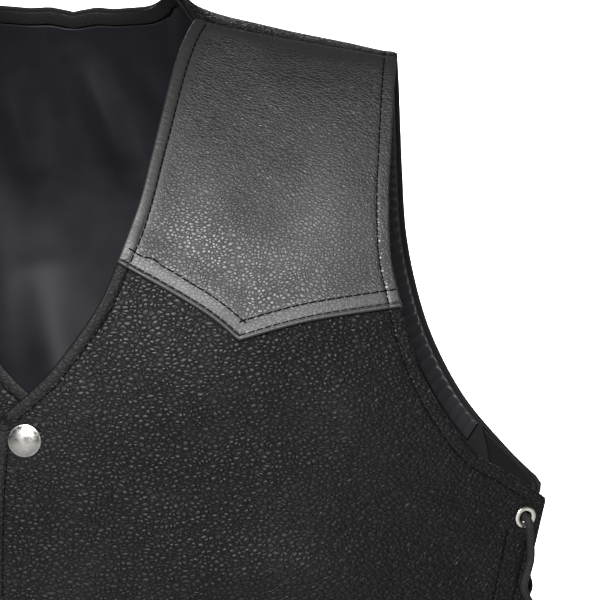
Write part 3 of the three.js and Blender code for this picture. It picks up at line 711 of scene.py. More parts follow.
flesh = fleshMaterial()
satin = satinMaterial("lining satin", (0.0032, 0.0032, 0.0048, 1), (0.005, 0.005, 0.0072, 1))
# Satin of the armhole strips: the lining satin painted about three times lighter, as painted light on
# strips that lie in shade inside the back
stripSatinPaintedLight = satinMaterial("strip satin painted light", (0.011, 0.011, 0.013, 1), (0.018, 0.018, 0.021, 1))
nickel = nickelMaterial("snap nickel", (0.2, 0.193, 0.182, 1), (0.34, 0.332, 0.317, 1))
eyeletNickel = nickelMaterial("eyelet nickel", (0.5, 0.475, 0.43, 1), (0.74, 0.71, 0.66, 1))
laceCord = cordMaterial("braided lace", 0.0026, 6, (0.008, 0.0078, 0.0078, 1), 0.75, 0.2)
threadBlack = cordMaterial("black thread", 0.0012, 2, (0.0016, 0.0016, 0.0017, 1), 0.8, 0.06)
print("materials made")


# Places on the form as points in space
def points3(places):
    return formPoint(places[:, 0], places[:, 1])


# Places on the other side of the middle where sign is -1
def mirroredPlaces(places, sign):
    return places * np.array([sign, 1.0])


# How an outline edge is finished, in millimetres: its roll and swelling, its stitch row and where
# a second one runs, the groove along the first, how proud it stands and how its grain fades
turned = {"roll": 0.75, "swell": 0.3, "row": 6.2, "groove": 0.42, "proud": 0.0, "grainy": 0.0}
flatTurned = {**turned, "swell": 0.12, "grainy": 9.0}
sideTurned = {**flatTurned, "row": 6.0, "second": 18.5}
seamEdge = {**turned, "roll": 0.6, "swell": 0.0, "row": 1.0, "groove": 0.0}
yokeFold = {**turned, "roll": 1.8, "swell": 0.7, "row": 2.6, "second": 8.9, "groove": 0.6,
            "proud": 0.9}


# An edge of a panel: its line of short straights, with how it is finished
def edgeOf(places, finish, spacing=4):
    line = points3(places)
    count = max(int(lengthsAlong(line)[-1] / spacing), 8)
    return {"line": respaced(line, count), **finish}


# A panel from its grid of places: the outer face is the form plus the height less the roll, and
# the inner face lies the leather's thickness under it, or under the lift alone
def makePanel(name, places, panel, material):
    x, run = places
    points = formPoint(x, run)
    height, roll, nearest, along = faceHeight(panel, x, run, points)
    out = outward(x, run)
    outer = points + out * (height - roll)[..., None]
    followed = height if panel["follow"] else panel["lift"](x, run, points)
    under = followed - cloth["leather"] + roll * 0.8
    inner = points + out * np.minimum(under, height - roll - 0.15)[..., None]
    uv = np.stack([along, nearest], -1) * metres
    return wallMesh(name, outer, inner, uv, [material, flesh])


# Places of a stitch row: the outline moved in, its ends trimmed, on the panel's own face
def stitchPlaces(places, inset, startTrim, endTrim):
    line = movedAside(places, inset)
    lengths = lengthsAlong(points3(line))
    keep = (lengths >= startTrim) & (lengths <= lengths[-1] - endTrim)
    return line[keep]


# A stitch, in millimetres, with its rings as shares of its length, of its radius and how far
# each is raised off the leather
stitch = {
    "pitch": 4.2, "length": 4.3, "radius": 0.38, "sides": 5, "slant": 0.1, "clear": 8.2,
    "at": np.array([-0.5, -0.32, 0.32, 0.5]), "width": np.array([0.35, 1, 1, 0.35]),
    "raised": np.array([-0.16, 0.2, 0.2, -0.16]), "mapStep": 0.0011,
}


# Stitches of one row, as capsules that dive at both ends: rings of points carried along each
# stitch. A stitch whose middle is too near one of the points in clearOf is left out.
def stitchesOn(panel, places, clearOf=None):
    points = points3(places)
    lengths = lengthsAlong(points)
    count = max(int(lengths[-1] / stitch["pitch"]), 1)
    middles = (np.arange(count) + 0.5) * lengths[-1] / count
    at = middles[:, None] + stitch["at"] * stitch["length"]
    x = np.interp(at, lengths, places[:, 0])
    run = np.interp(at, lengths, places[:, 1])
    base = formPoint(x, run)
    if clearOf is not None:
        gap = np.linalg.norm(base.mean(axis=1)[:, None] - clearOf[None], axis=2).min(1)
        kept = gap > stitch["clear"]
        x, run, base = x[kept], run[kept], base[kept]
    out = outward(x, run)
    height, roll = faceHeight(panel, x, run, base)[:2]
    way = unit(base[:, -1] - base[:, 0])[:, None]
    aside = np.cross(out, way)
    slanted = stitch["slant"] * stitch["at"] * 2
    centre = base + out * (height - roll + stitch["raised"])[..., None] + aside * slanted[:, None]
    angle = np.arange(stitch["sides"]) * 2 * pi / stitch["sides"]
    ring = out[:, :, None] * np.cos(angle)[:, None] + aside[:, :, None] * np.sin(angle)[:, None]
    return centre[:, :, None] + ring * (stitch["width"] * stitch["radius"])[:, None, None]


# All stitches of a piece as one mesh: walls between rings, and a cap at both ends of each
def threadPiece(name, groups):
    rings = np.concatenate(groups)
    count, along, ringSides = rings.shape[:3]
    ids = np.arange(count * along * ringSides).reshape(count, along, ringSides)
    after = np.roll(ids, -1, axis=2)
    walls = np.stack([ids[:, :-1], ids[:, 1:], after[:, 1:], after[:, :-1]], -1).reshape(-1, 4)
    caps = [*ids[:, 0, ::-1].tolist(), *ids[:, -1].tolist()]
    faces = [*walls.tolist(), *caps]
    mesh = bpy.data.meshes.new(name)
    mesh.from_pydata((rings.reshape(-1, 3) * metres).tolist(), [], faces)
    mesh.polygons.foreach_set("use_smooth", np.ones(len(faces), bool))
    where = np.broadcast_to(np.arange(along)[:, None] * stitch["mapStep"], ids.shape)
    turn = np.broadcast_to(np.arange(ringSides) / ringSides, ids.shape)
    addUv(mesh, np.stack([where.ravel(), turn.ravel()], -1))
    piece = pieceOf(name, mesh, [threadBlack])
    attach(piece, "root")


# A panel that lies on the form
def noLift(x, run, points):
    return np.zeros(x.shape)


# Lift of the overlapping front: one layer at its edge, none past the other front's edge
def lapLift(x, run, points):
    return cloth["layer"] * (1 - smoothStep(25, 46, x))


yokeLine = points3(yokeEdge)


# Lift of a yoke: one layer over the front along its pointed edge, none away from it
def yokeLift(sign):
    line = respaced(yokeLine * np.array([sign, 1, 1]), 60)
    return lambda x, run, points: cloth["layer"] * (1 - smoothStep(6, 24, nearestOn(points, line)[0]))


# Folds of the leather, as x, z of both ends and the middle, then width and height
frontFolds = {
    1: [
        (70, -262, 118, -272, 176, -262, 13, 2.2),
        (84, -292, 130, -300, 190, -284, 14, -2.0),
        (150, -246, 196, -262, 232, -290, 11, -1.3),
        (176, -232, 206, -252, 226, -276, 8, 1.1),
        (60, -170, 96, -196, 150, -204, 17, -1.0),
        (134, -170, 160, -196, 190, -232, 15, 1.3),
        (40, -330, 100, -344, 170, -330, 15, 1.8),
        (96, -372, 150, -388, 212, -372, 15, -2.4),
        (64, -400, 120, -412, 204, -404, 14, 2.2),
        (30, -450, 80, -440, 130, -456, 15, -1.6),
        (110, -452, 160, -470, 214, -458, 13, 1.8),
        (52, -500, 66, -548, 60, -596, 15, 2.0),
        (120, -498, 132, -548, 128, -600, 17, -2.0),
        (176, -488, 186, -540, 190, -598, 14, 1.9),
        (20, -240, 34, -300, 28, -360, 12, -0.9),
    ],
    -1: [
        (-78, -256, -120, -268, -182, -256, 13, 1.9),
        (-70, -288, -128, -300, -186, -290, 14, -2.1),
        (-152, -248, -200, -262, -234, -286, 11, -1.2),
        (-176, -230, -204, -252, -228, -274, 8, 1.2),
        (-64, -172, -98, -192, -146, -202, 17, -0.9),
        (-136, -172, -158, -198, -192, -230, 15, 1.2),
        (-50, -338, -106, -350, -178, -336, 15, 1.9),
        (-92, -378, -144, -392, -210, -380, 15, -2.2),
        (-58, -410, -118, -420, -200, -408, 14, 2.0),
        (-40, -456, -86, -446, -136, -460, 15, -1.5),
        (-108, -458, -162, -474, -212, -462, 13, 1.6),
        (-60, -506, -70, -552, -66, -598, 15, 1.9),
        (-122, -494, -136, -546, -130, -600, 17, -1.9),
        (-180, -490, -188, -540, -192, -598, 14, 1.8),
    ],
}
yokeFolds = {
    1: [
        (118, -52, 130, -84, 120, -116, 11, -0.7),
        (84, -60, 92, -92, 88, -124, 12, 0.5),
        (66, -112, 84, -126, 104, -130, 8, 0.5),
        (136, -40, 148, -76, 150, -112, 10, 0.5),
    ],
    -1: [
        (-116, -50, -128, -82, -122, -118, 11, -0.6),
        (-86, -58, -94, -90, -86, -126, 12, 0.5),
        (-68, -110, -86, -126, -106, -130, 8, 0.5),
        (-138, -42, -146, -78, -152, -112, 10, 0.5),
    ],
}
backFolds = [
    (-150, -150, -90, -172, -20, -168, 20, 1.2),
    (12, -176, 80, -184, 150, -160, 20, 1.4),
    (-196, -300, -130, -326, -60, -320, 15, 2.2),
    (40, -316, 120, -334, 200, -300, 15, 2.4),
    (-200, -352, -120, -378, -30, -366, 14, 2.8),
    (-10, -372, 90, -392, 206, -356, 15, 3.0),
    (-204, -404, -110, -424, -8, -414, 14, 2.6),
    (26, -426, 110, -444, 204, -412, 15, 2.6),
    (-190, -452, -120, -470, -40, -460, 13, 2.0),
    (10, -470, 90, -486, 180, -464, 14, 1.8),
    (-160, -520, -168, -560, -160, -600, 15, 2.0),
    (-60, -510, -50, -556, -56, -602, 17, 2.2),
    (44, -524, 52, -560, 44, -602, 16, 2.0),
    (150, -512, 160, -556, 152, -602, 15, 2.1),
    (-120, -60, -96, -90, -60, -104, 16, 1.0),
    (66, -66, 96, -88, 130, -84, 16, 1.0),
]

sides = {"left": 1, "right": -1}

# Yokes
for name, sign in sides.items():
    top, low, neck, armhole = (
        mirroredPlaces(line, sign) for line in (seam, yokeEdge, neckYoke, armholeYoke))
    top = respaced(top, 201)
    panel = {
        "edges": [edgeOf(neck, turned), edgeOf(armhole, flatTurned), edgeOf(low, yokeFold, 2),
                  edgeOf(top, seamEdge)],
        "lift": yokeLift(sign), "folds": yokeFolds[sign], "follow": True,
        "quiet": [respaced(points3(low), 60)],
    }
    grid = panelPlaces(top, low, neck, armhole, 1.9)
    piece = makePanel(f"yoke_{name}_leather", grid, panel, yokeLeather)
    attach(piece, "root")
    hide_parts(f"yoke_{name}")
    rows = [
        stitchesOn(panel, stitchPlaces(neck, -sign * turned["row"], 1, 2)),
        stitchesOn(panel, stitchPlaces(armhole, sign * turned["row"], 1, 2)),
    ]
    toPoint, fromPoint = (mirroredPlaces(outline(pattern[key], front), sign)
                          for key in ("yokeToPoint", "yokeFromPoint"))
    for inset in (yokeFold["row"], yokeFold["second"]):
        corner = inset * 0.25
        rows += [stitchesOn(panel, stitchPlaces(toPoint, -sign * inset, 1, corner)),
                 stitchesOn(panel, stitchPlaces(fromPoint, -sign * inset, corner, 1))]
    threadPiece(f"yoke_{name}_stitches", rows)
print("yokes made")

# Eyelets, in millimetres, with the pegs that cut their holes
eyelet = {"count": 5, "firstZ": -250, "pitch": 74, "inset": 9, "radius": 5.6, "hole": 3.1,
          "rim": 0.8, "seat": 0.6, "barrel": 0.5, "pegSides": 24, "pegLength": 16}
edgeDepth = {"front": cloth["leather"], "back": 4.2}  # leather alone, and leather with its facing


# Eyelet places on an edge: middle, way out, level way to the gap, and way down
def eyeletSpots(edge, side, sign):
    z = eyelet["firstZ"] - eyelet["pitch"] * np.arange(eyelet["count"])
    rows = np.array(pattern[edge], float)
    x = sign * (readTable(rows[:, 1], rows[:, 0], z) - eyelet["inset"])
    run = side * runTo(x, z)
    out = outward(x, run)
    toGap = unit(np.cross(np.array([0, 0, 1.0]), out))
    toGap = toGap * np.where(toGap[:, :1] * sign < 0, -1, 1)
    down = np.cross(out, toGap)
    down = down * np.where(down[:, 2:] > 0, -1, 1)
    return {"point": formPoint(x, run), "out": out, "toGap": toGap, "down": down}


# Holes for the eyelets, cut through a panel with round pegs set along the way out
def cutHoles(piece, spots):
    radius = eyelet["hole"] + eyelet["barrel"] + cloth["seam"]
    count, pegSides = eyelet["count"], eyelet["pegSides"]
    angle = np.arange(pegSides) * 2 * pi / pegSides
    ring = (spots["toGap"][:, None] * np.cos(angle)[:, None]
            + spots["down"][:, None] * np.sin(angle)[:, None]) * radius
    ends = np.stack([spots["point"][:, None] + ring + spots["out"][:, None] * height
                     for height in (eyelet["pegLength"] / 2, -eyelet["pegLength"] / 2)], 1)
    ids = np.arange(count * 2 * pegSides).reshape(count, 2, pegSides)
    after = np.roll(ids, -1, axis=2)
    walls = np.stack([ids[:, 0], ids[:, 1], after[:, 1], after[:, 0]], -1).reshape(-1, 4)
    caps = [*ids[:, 0].tolist(), *ids[:, 1, ::-1].tolist()]
    mesh = bpy.data.meshes.new("pegs")
    mesh.from_pydata((ends.reshape(-1, 3) * metres).tolist(), [], [*walls.tolist(), *caps])
    pegs = pieceOf("pegs", mesh, [])
    turnOutward(pegs)
    cut = piece.modifiers.new("holes", "BOOLEAN")
    cut.object = pegs
    cut.operation = "DIFFERENCE"
    cut.solver = "EXACT"
    whole = piece.data
    piece.data = bpy.data.meshes.new_from_object(
        piece.evaluated_get(bpy.context.evaluated_depsgraph_get()))
    piece.modifiers.clear()
    bpy.data.meshes.remove(whole)
    bpy.data.objects.remove(pegs)


spotsOf = {}
for name, sign in sides.items():
    spotsOf["front", name] = eyeletSpots("frontSide", front, sign)
    spotsOf["back", name] = eyeletSpots("backSide", behind, sign)

# Fronts: how far each edge is moved over below the neck, and how far each goes up under its yoke
lap = {"left": 0, "right": 3.5, "fromZ": -125, "toZ": -185, "tuck": 10}


# Rows of x and z moved over towards the other front, by more and more below the neck
def movedOver(rows, distance):
    rows = np.array(rows, float)
    rows[:, 0] -= distance * smoothStep(-lap["fromZ"], -lap["toZ"], -rows[:, 1])
    return rows


# Rows moved up under the yoke
def tucked(rows):
    return [(x, z + lap["tuck"]) for x, z in rows]


for name, sign in sides.items():
    topLeft = [pattern["neckBelowYoke"][0], *tucked(pattern["yokeToPoint"][1:])]
    topRight = [*tucked(pattern["yokeFromPoint"][:2]), pattern["armholeBelowYoke"][0]]
    hemRows = movedOver(pattern["frontHem"], lap[name])
    hemRows[1:] = pattern["frontHem"][1:]
    top, hem, neck, edge, armhole, side = (mirroredPlaces(line, sign) for line in (
        chained(outline(topLeft, front), outline(topRight, front)),
        outline(hemRows, front),
        outline(movedOver(pattern["neckBelowYoke"], lap[name]), front),
        outline(movedOver(pattern["frontEdge"], lap[name]), front),
        outline(pattern["armholeBelowYoke"], front),
        outline(pattern["frontSide"], front),
    ))
    panel = {
        "edges": [edgeOf(neck, turned), edgeOf(edge, turned), edgeOf(armhole, flatTurned),
                  edgeOf(side, sideTurned), edgeOf(hem, turned)],
        "lift": lapLift if sign > 0 else noLift, "folds": frontFolds[sign], "follow": True,
        "quiet": [respaced(yokeLine * np.array([sign, 1, 1]), 60),
                  respaced(points3(edge), 60), spotsOf["front", name]["point"]],
    }
    grid = panelPlaces(top, hem, chained(neck, edge), chained(armhole, side), 2.35)
    piece = makePanel(f"front_{name}_leather", grid, panel, panelLeather)
    cutHoles(piece, spotsOf["front", name])
    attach(piece, "root")
    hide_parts(f"front_{name}")
    threadPiece(f"front_{name}_stitches", [
        stitchesOn(panel, stitchPlaces(neck, -sign * turned["row"], 9, 5)),
        stitchesOn(panel, stitchPlaces(edge, -sign * turned["row"], 2, 6)),
        stitchesOn(panel, stitchPlaces(armhole, sign * turned["row"], 9, 7)),
        stitchesOn(panel, stitchPlaces(side, sign * sideTurned["row"], 8, 6),
                   spotsOf["front", name]["point"]),
        stitchesOn(panel, stitchPlaces(side, sign * sideTurned["second"], 26, 6)),
        stitchesOn(panel, stitchPlaces(hem, -sign * turned["row"], 6, 6)),
    ])
print("fronts made")


# Back: half a grid on each side of the middle, from one seam over the shoulder to the hem
def bothHalves(places):
    x, run = places
    return (np.concatenate([-x[:, :0:-1], x], 1), np.concatenate([run[:, :0:-1], run], 1))


besideSeam = seam + np.array([0, cloth["seam"]])
seamLine = respaced(besideSeam, 101)
backNeckEdge = np.vstack([backNeckLine[:-1], besideSeam[:1]])
backTop = chained(backNeckEdge, seamLine)
backMiddle = outline([(0, -17.4), (0, -200), (0, -400), (0, -616)], behind)
backSideLine = outline(pattern["backSide"], behind)
backHemLine = outline(pattern["backHem"], behind)
backRight = chained(
    backShoulderLine, outline(pattern["backArmhole"], behind), backSideLine, count=801)
backGrid = bothHalves(
    panelPlaces(backTop, backHemLine, backMiddle, backRight, 3.2, closeAtLeft=False))
wholeBackNeck = chained(mirroredPlaces(backNeckEdge, -1)[::-1], backNeckEdge)
wholeBackHem = chained(mirroredPlaces(backHemLine, -1)[::-1], backHemLine)
bothSides = [(line, mirroredPlaces(line, -1)) for line in (backArmholeLine, backSideLine, seamLine)]
backPanel = {
    "edges": [edgeOf(wholeBackNeck, turned),
              *[edgeOf(line, turned) for line in bothSides[0]],
              *[edgeOf(line, sideTurned) for line in bothSides[1]],
              edgeOf(wholeBackHem, turned),
              *[edgeOf(line, seamEdge) for line in bothSides[2]]],
    "lift": noLift, "folds": backFolds, "follow": False,
    "quiet": [spotsOf["back", "left"]["point"], spotsOf["back", "right"]["point"]],
}
piece = makePanel("back_leather", backGrid, backPanel, panelLeather)
for name in sides:
    cutHoles(piece, spotsOf["back", name])
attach(piece, "root")
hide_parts("back")
rows = [stitchesOn(backPanel, stitchPlaces(wholeBackNeck, -turned["row"], 2, 2)),
        stitchesOn(backPanel, stitchPlaces(wholeBackHem, turned["row"], 6, 6))]
for name, sign in sides.items():
    armhole, side = mirroredPlaces(backArmholeLine, sign), mirroredPlaces(backSideLine, sign)
    rows += [
        stitchesOn(backPanel, stitchPlaces(armhole, -sign * turned["row"], 2, 7)),
        stitchesOn(backPanel, stitchPlaces(side, -sign * sideTurned["row"], 8, 6),
                   spotsOf["back", name]["point"]),
        stitchesOn(backPanel, stitchPlaces(side, -sign * sideTurned["second"], 26, 6)),
    ]
threadPiece("back_stitches", rows)
print("back made")

# Neck facing, side facings, gathered strips and lining, all inside the back
facing = {
    "inset": 0.6, "width": 7.2, "edgeGap": 1.4, "bottomZ": -611, "liningBottomZ": -604,
    "strip": 11, "stripInset": 1.6, "stripIn": 0.4, "pucker": 1.5, "pleat": 5.6,
    "inward": 20,  # what the map gives as the way in from an edge, so that no grain fades
}


# A band between two lines of places, as a wall whose inside bulges by a sine across its width
def bandPiece(name, first, second, base, thickness, across, bulge, material, ripple=None):
    share = np.linspace(0, 1, across)[:, None]
    places = (1 - share[..., None]) * first[None] + share[..., None] * second[None]
    x, run = places[..., 0], places[..., 1]
    points, out = formPoint(x, run), outward(x, run)
    along = np.broadcast_to(lengthsAlong(points3(first)), x.shape)
    share = np.broadcast_to(share, x.shape)
    swell = bulge * np.sin(pi * share) ** 0.6
    if ripple:
        swell = swell + ripple(along, share)
    uv = np.stack([along, np.full(x.shape, facing["inward"])], -1) * metres
    inside = points + out * (base - thickness - swell)[..., None]
    piece = wallMesh(name, points + out * base, inside, uv, [material])
    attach(piece, "root")
    return piece


wholeNeck = chained(mirroredPlaces(backNeckLine, -1)[::-1], backNeckLine, count=261)
neckFacing = bandPiece(
    "neck_facing_leather", movedAside(wholeNeck, -facing["inset"]),
    movedAside(wholeNeck, -facing["inset"] - facing["width"]),
    cloth["inner"], cloth["facing"] - 0.2, 15, 0.45, trimLeather)
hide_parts("neck_facing")

overFacing = backArmholeLine[:, 0] >= pattern["facingTop"][0][0] - 2
stripLine = respaced(backArmholeLine[(backArmholeLine[:, 1] < 150) | ~overFacing], 700)


# Gathers of the elastic strip: uneven pleats, highest at mid width, each a sine of the length
# whose phase two slower sines push about
def gathers(along, share):
    phase = along / facing["pleat"] * 2 * pi + 1.1 * np.sin(along / 23) + 0.7 * np.sin(along / 9.7 + 2)
    pleat = (0.5 + 0.5 * np.sin(phase + 0.9 * (share - 0.5))) ** 1.6
    return facing["pucker"] * pleat * np.sin(pi * np.clip(share, 0, 1)) ** 0.5 * (
        0.75 + 0.25 * np.sin(along / 13.7))


facingInner = outline(pattern["facingInner"], behind, 161)
besideEdge = np.array(pattern["backSide"], float) - np.array([cloth["seam"], 0])
besideEdge[0] = pattern["facingTop"][-1]
besideEdge[:, 1] = np.maximum(besideEdge[:, 1], facing["bottomZ"])
facingOuter = outline(besideEdge, behind, 161)
for name, sign in sides.items():
    line = mirroredPlaces(stripLine, sign)
    # The gathered strip is in the satin painted lighter, as painted light
    strip = bandPiece(
        f"armhole_strip_{name}", movedAside(line, -sign * facing["stripInset"]),
        movedAside(line, -sign * (facing["stripInset"] + facing["strip"])),
        cloth["inner"] - facing["stripIn"], cloth["lining"] * 0.7, 11, 0.2, stripSatinPaintedLight, gathers)
    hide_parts(f"armhole_facing_{name}")

    sideStrip = bandPiece(
        f"side_facing_{name}_leather", mirroredPlaces(facingOuter, sign),
        mirroredPlaces(facingInner, sign), cloth["inner"], cloth["facing"] - 0.1, 17, 0.15,
        trimLeather)
    cutHoles(sideStrip, spotsOf["back", name])
    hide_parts(f"side_facing_{name}")

# Folds of the lining, in the same columns as those of the leather
liningFolds = [
    (-36, -48, -30, -84, -22, -110, 9, 4), (2, -42, 14, -70, 26, -104, 8, 5),
    (-66, -90, -56, -150, -40, -215, 14, 5), (-22, -150, -10, -212, 8, -270, 16, 6),
    (44, -80, 50, -150, 58, -230, 12, 5), (92, -120, 92, -220, 84, -330, 15, 5),
    (-104, -140, -104, -260, -96, -380, 15, 5), (20, -330, 22, -440, 30, -560, 16, 5),
    (-50, -360, -56, -470, -58, -580, 15, 5), (128, -340, 130, -450, 124, -560, 14, 4),
]
fineFolds = [
    (60, -30, 74, -52, 96, -70, 6, 1.6), (30, -34, 44, -62, 66, -84, 6, 1.8),
    (-12, -40, -4, -72, -8, -112, 6, 1.6), (104, -56, 118, -90, 120, -132, 8, 1.6),
    (-90, -44, -74, -80, -70, -130, 8, 1.8), (70, -220, 50, -262, 20, -300, 10, 2.2),
    (140, -150, 132, -220, 138, -300, 10, 1.8), (-150, -170, -142, -240, -148, -320, 11, 1.8),
    (-20, -280, -44, -330, -80, -380, 11, 2.0), (60, -380, 84, -450, 80, -540, 12, 1.8),
    (170, -330, 160, -420, 168, -520, 11, 1.6), (-130, -420, -120, -500, -128, -580, 12, 1.8),
]
neckIn = movedAside(backNeckLine, -facing["inset"] - facing["width"] - facing["edgeGap"])
neckIn[0, 0] = 0
stripIn = movedAside(stripLine, -facing["stripInset"] - facing["strip"] - facing["edgeGap"])
stripIn[0] = (stripIn[0, 0], seam[1, 1] + cloth["seam"])
facingRows = np.array([(x - facing["edgeGap"], max(z, facing["liningBottomZ"]))
                       for x, z in pattern["facingInner"][1:]])
besideFacing = curveThrough(np.vstack([stripIn[-1:], placesOf(facingRows, behind)]))
liningRight = chained(stripIn, besideFacing)
liningTop = chained(neckIn, respaced(np.vstack([neckIn[-1:], stripIn[:1]]), 61))
liningBottom = outline([(x, facing["liningBottomZ"]) for x in (0, facingRows[-1, 0])], behind)
liningMiddle = chained(np.vstack([neckIn[:1], liningBottom[:1]]))
x, run = bothHalves(
    panelPlaces(liningTop, liningBottom, liningMiddle, liningRight, 3.4, closeAtLeft=False))
points, out = formPoint(x, run), outward(x, run)
border = np.minimum.reduce([
    nearestOn(points, respaced(points3(mirroredPlaces(line, sign)), 80))[0]
    for sign in (1, -1) for line in (liningTop, liningRight)])
drop = foldHeight(points, liningFolds) + foldHeight(points, fineFolds)
drop = drop * smoothStep(0, 14, border)
outerFace = points + out * (cloth["inner"] - drop)[..., None]
innerFace = points + out * (cloth["inner"] - drop - cloth["lining"])[..., None]
lining = wallMesh("back_lining_satin", outerFace, innerFace, np.stack([x, run], -1) * metres, [satin])
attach(lining, "root")
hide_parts("back_lining")
print("inside made")


# A profile turned round an axis: rings of out and up, set at each spot along its way out
def turnedPieces(name, profile, spots, height, segments, material, nodes):
    angle = np.arange(segments) * 2 * pi / segments
    profile = np.asarray(profile, float)
    ring = (spots["toGap"][:, None, None] * np.cos(angle)[:, None]
            + spots["down"][:, None, None] * np.sin(angle)[:, None])
    centre = spots["point"] + spots["out"] * height
    points = (centre[:, None, None] + ring * profile[None, :, 0, None, None]
              + spots["out"][:, None, None] * profile[None, :, 1, None, None])
    ids = np.arange(points[..., 0].size).reshape(points.shape[:3])
    after = np.roll(ids, -1, axis=2)
    faces = np.stack([ids[:, :-1], ids[:, 1:], after[:, 1:], after[:, :-1]], -1).reshape(-1, 4)
    piece = pieceOf(name, meshOf(name, points.reshape(-1, 3) * metres, faces), [material])
    turnOutward(piece)
    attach(piece, "root")
    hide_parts(*nodes)


# Part of a circle as rows of out and up, from one angle in degrees to another
def arcRows(centre, radius, start, stop, count):
    angle = np.radians(np.linspace(start, stop, count))
    return [(centre[0] + radius * np.cos(a), centre[1] + radius * np.sin(a)) for a in angle]


# Eyelets: rolled rim outside, barrel, and rolled rim inside
seat, hole, barrel = eyelet["seat"], eyelet["hole"], eyelet["hole"] + eyelet["barrel"]
rim = (eyelet["radius"] - hole) / 2
innerRim = rim - 0.3
for place, depth in edgeDepth.items():
    top = [(hole + rim + rim * np.cos(a), seat - 0.05 + eyelet["rim"] * np.sin(a) ** 0.5)
           for a in np.radians(np.linspace(0, 180, 11))]
    bottom = [(hole + 0.4 + innerRim + innerRim * np.cos(a), -depth - seat + 0.9 * np.sin(a))
              for a in np.radians(np.linspace(180, 360, 9))]
    profile = [*top, *bottom, (barrel + 0.3, -depth - seat + 0.05), (barrel, -depth), (barrel, 0),
               top[0]]
    for name in sides:
        turnedPieces(f"eyelets_{place}_{name}", profile, spotsOf[place, name], 0, 36, eyeletNickel,
                     [f"eyelet_{place}_{name}_{i + 1}" for i in range(eyelet["count"])])

# Snaps: a domed cap with a rolled rim, on the middle of the front
snap = {"count": 4, "firstZ": -205, "pitch": 105, "radius": 8.2, "height": 3.0, "rim": 0.62,
        "shoulder": 0.9, "flatness": 0.74, "above": 0.1}
z = snap["firstZ"] - snap["pitch"] * np.arange(snap["count"])
x = np.zeros(snap["count"])
run = -runTo(x, z)
out = outward(x, run)
acrossWay = unit(np.cross(np.array([0, 0, 1.0]), out))
snapSpots = {"point": formPoint(x, run), "out": out, "toGap": acrossWay,
             "down": np.cross(out, acrossWay)}
rim, shoulder = snap["rim"], snap["radius"] * snap["shoulder"]
capRows = [(0, 0), (shoulder, 0), *arcRows((snap["radius"] - rim, rim), rim, -70, 82, 9),
           *[(snap["radius"] * share, snap["height"] * (1 - snap["flatness"] * share ** 2.6))
             for share in np.linspace(snap["shoulder"], 0, 15)]]
turnedPieces("snap_caps", capRows, snapSpots, cloth["layer"] + cloth["seam"] + snap["above"], 56,
             nickel, [f"snap_{i + 1}" for i in range(snap["count"])])
print("snaps and eyelets made")

# Laces: the route of the solids, as towards the gap, down and out from an eyelet
lace = {"radius": 2.0, "crossing": 2.5, "crossAt": 0.45, "clear": 0.5, "sides": 14, "step": 0.9,
        "knotRadius": 1.75, "knotSides": 12, "knotWidth": 0.98, "knotHeight": 1.25, "knotOut": 3.1}
laceOver = [(0.2, 0.6, 2.2), (1, 2.7, 4.2), (2.4, 6, 4.6), (5, 10.5, 3.8), (10.4, 16, 3.6),
            (16, 22, 1.6)]
laceOverTop = [(0.2, 0.6, 2.2), (0.8, 2.9, 4.2), (1.4, 7, 4.2), (2.3, 12, 3.8), (3.2, 17, 3.5),
               (3.5, 21.5, 3.4), (2.8, 26.6, 3.2), (1.9, 31, 3), (1.4, 36, 3), (3.6, 41, 3),
               (8, 47, 1.2)]


# Point beside an eyelet: its middle plus so much towards the gap, down and out
def besideSpot(spots, i, toGap, down, out):
    return (spots["point"][i] + spots["toGap"][i] * toGap + spots["down"][i] * down
            + spots["out"][i] * out)


# Route of one lace: a bar inside at the top, then each half crosses from edge to edge downwards
def laceRoute(name):
    edges = [spotsOf[place, name] for place in edgeDepth]
    below = [-(depth + cloth["seam"] + eyelet["rim"] + lace["radius"] + lace["clear"])
             for depth in edgeDepth.values()]
    last = eyelet["count"] - 1

    def outThrough(k, i):
        return [besideSpot(edges[k], i, 0.2, -0.3, below[k] + 0.8), besideSpot(edges[k], i, 0, 0, -1)]

    def half(start):
        points = []
        for i in range(last):
            k, to = (start + i) % 2, (start + i + 1) % 2
            points += outThrough(k, i)
            over = laceOverTop if i == 0 else laceOver
            points += [besideSpot(edges[k], i, *place) for place in over]
            lower = besideSpot(edges[to], i + 1, 14, -12, below[to])
            shift = lace["crossing"] * (1 if k == 0 else -1) * sides[name]
            middle = points[-1] + (lower - points[-1]) * lace["crossAt"]
            points += [middle + np.array([shift, 0, 0]), lower,
                       besideSpot(edges[to], i + 1, 5, -4.5, below[to] - 1.2)]
        k = (start + last) % 2
        return [*points, *outThrough(k, last), besideSpot(edges[k], last, 0, 0, 0.9)]

    first, second = half(0), half(1)
    bar = (first[0] + second[0]) / 2
    barEnds = [besideSpot(edges[k], 0, 6, 0, below[k] - 0.4) for k in (0, 1)]
    return np.array([*first[::-1], barEnds[0], bar, barEnds[1], *second])


# Curve through points that lie unevenly: knots grow by the root of each distance, and each
# point between is worked out by three rounds of straight blending
def rootSpacedCurve(points, perSpan=14):
    ends = [2 * points[0] - points[1], *points, 2 * points[-1] - points[-2]]
    p = np.array(ends)
    gap = np.maximum(np.sqrt(np.linalg.norm(np.diff(p, axis=0), axis=1)), 1e-4)
    t = np.linspace(0, 1, perSpan, endpoint=False)[None, :, None]
    t0 = np.zeros((len(points) - 1, 1, 1))
    t1 = t0 + gap[:-2, None, None]
    t2 = t1 + gap[1:-1, None, None]
    t3 = t2 + gap[2:, None, None]
    a, b, c, d = (p[k:len(p) - 3 + k, None] for k in range(4))
    at = t1 + (t2 - t1) * t

    def blend(first, second, low, high):
        return ((high - at) * first + (at - low) * second) / (high - low)

    ab, bc, cd = blend(a, b, t0, t1), blend(b, c, t1, t2), blend(c, d, t2, t3)
    curve = blend(blend(ab, bc, t0, t2), blend(bc, cd, t1, t3), t1, t2)
    return np.concatenate([curve.reshape(-1, 3), points[-1:]])


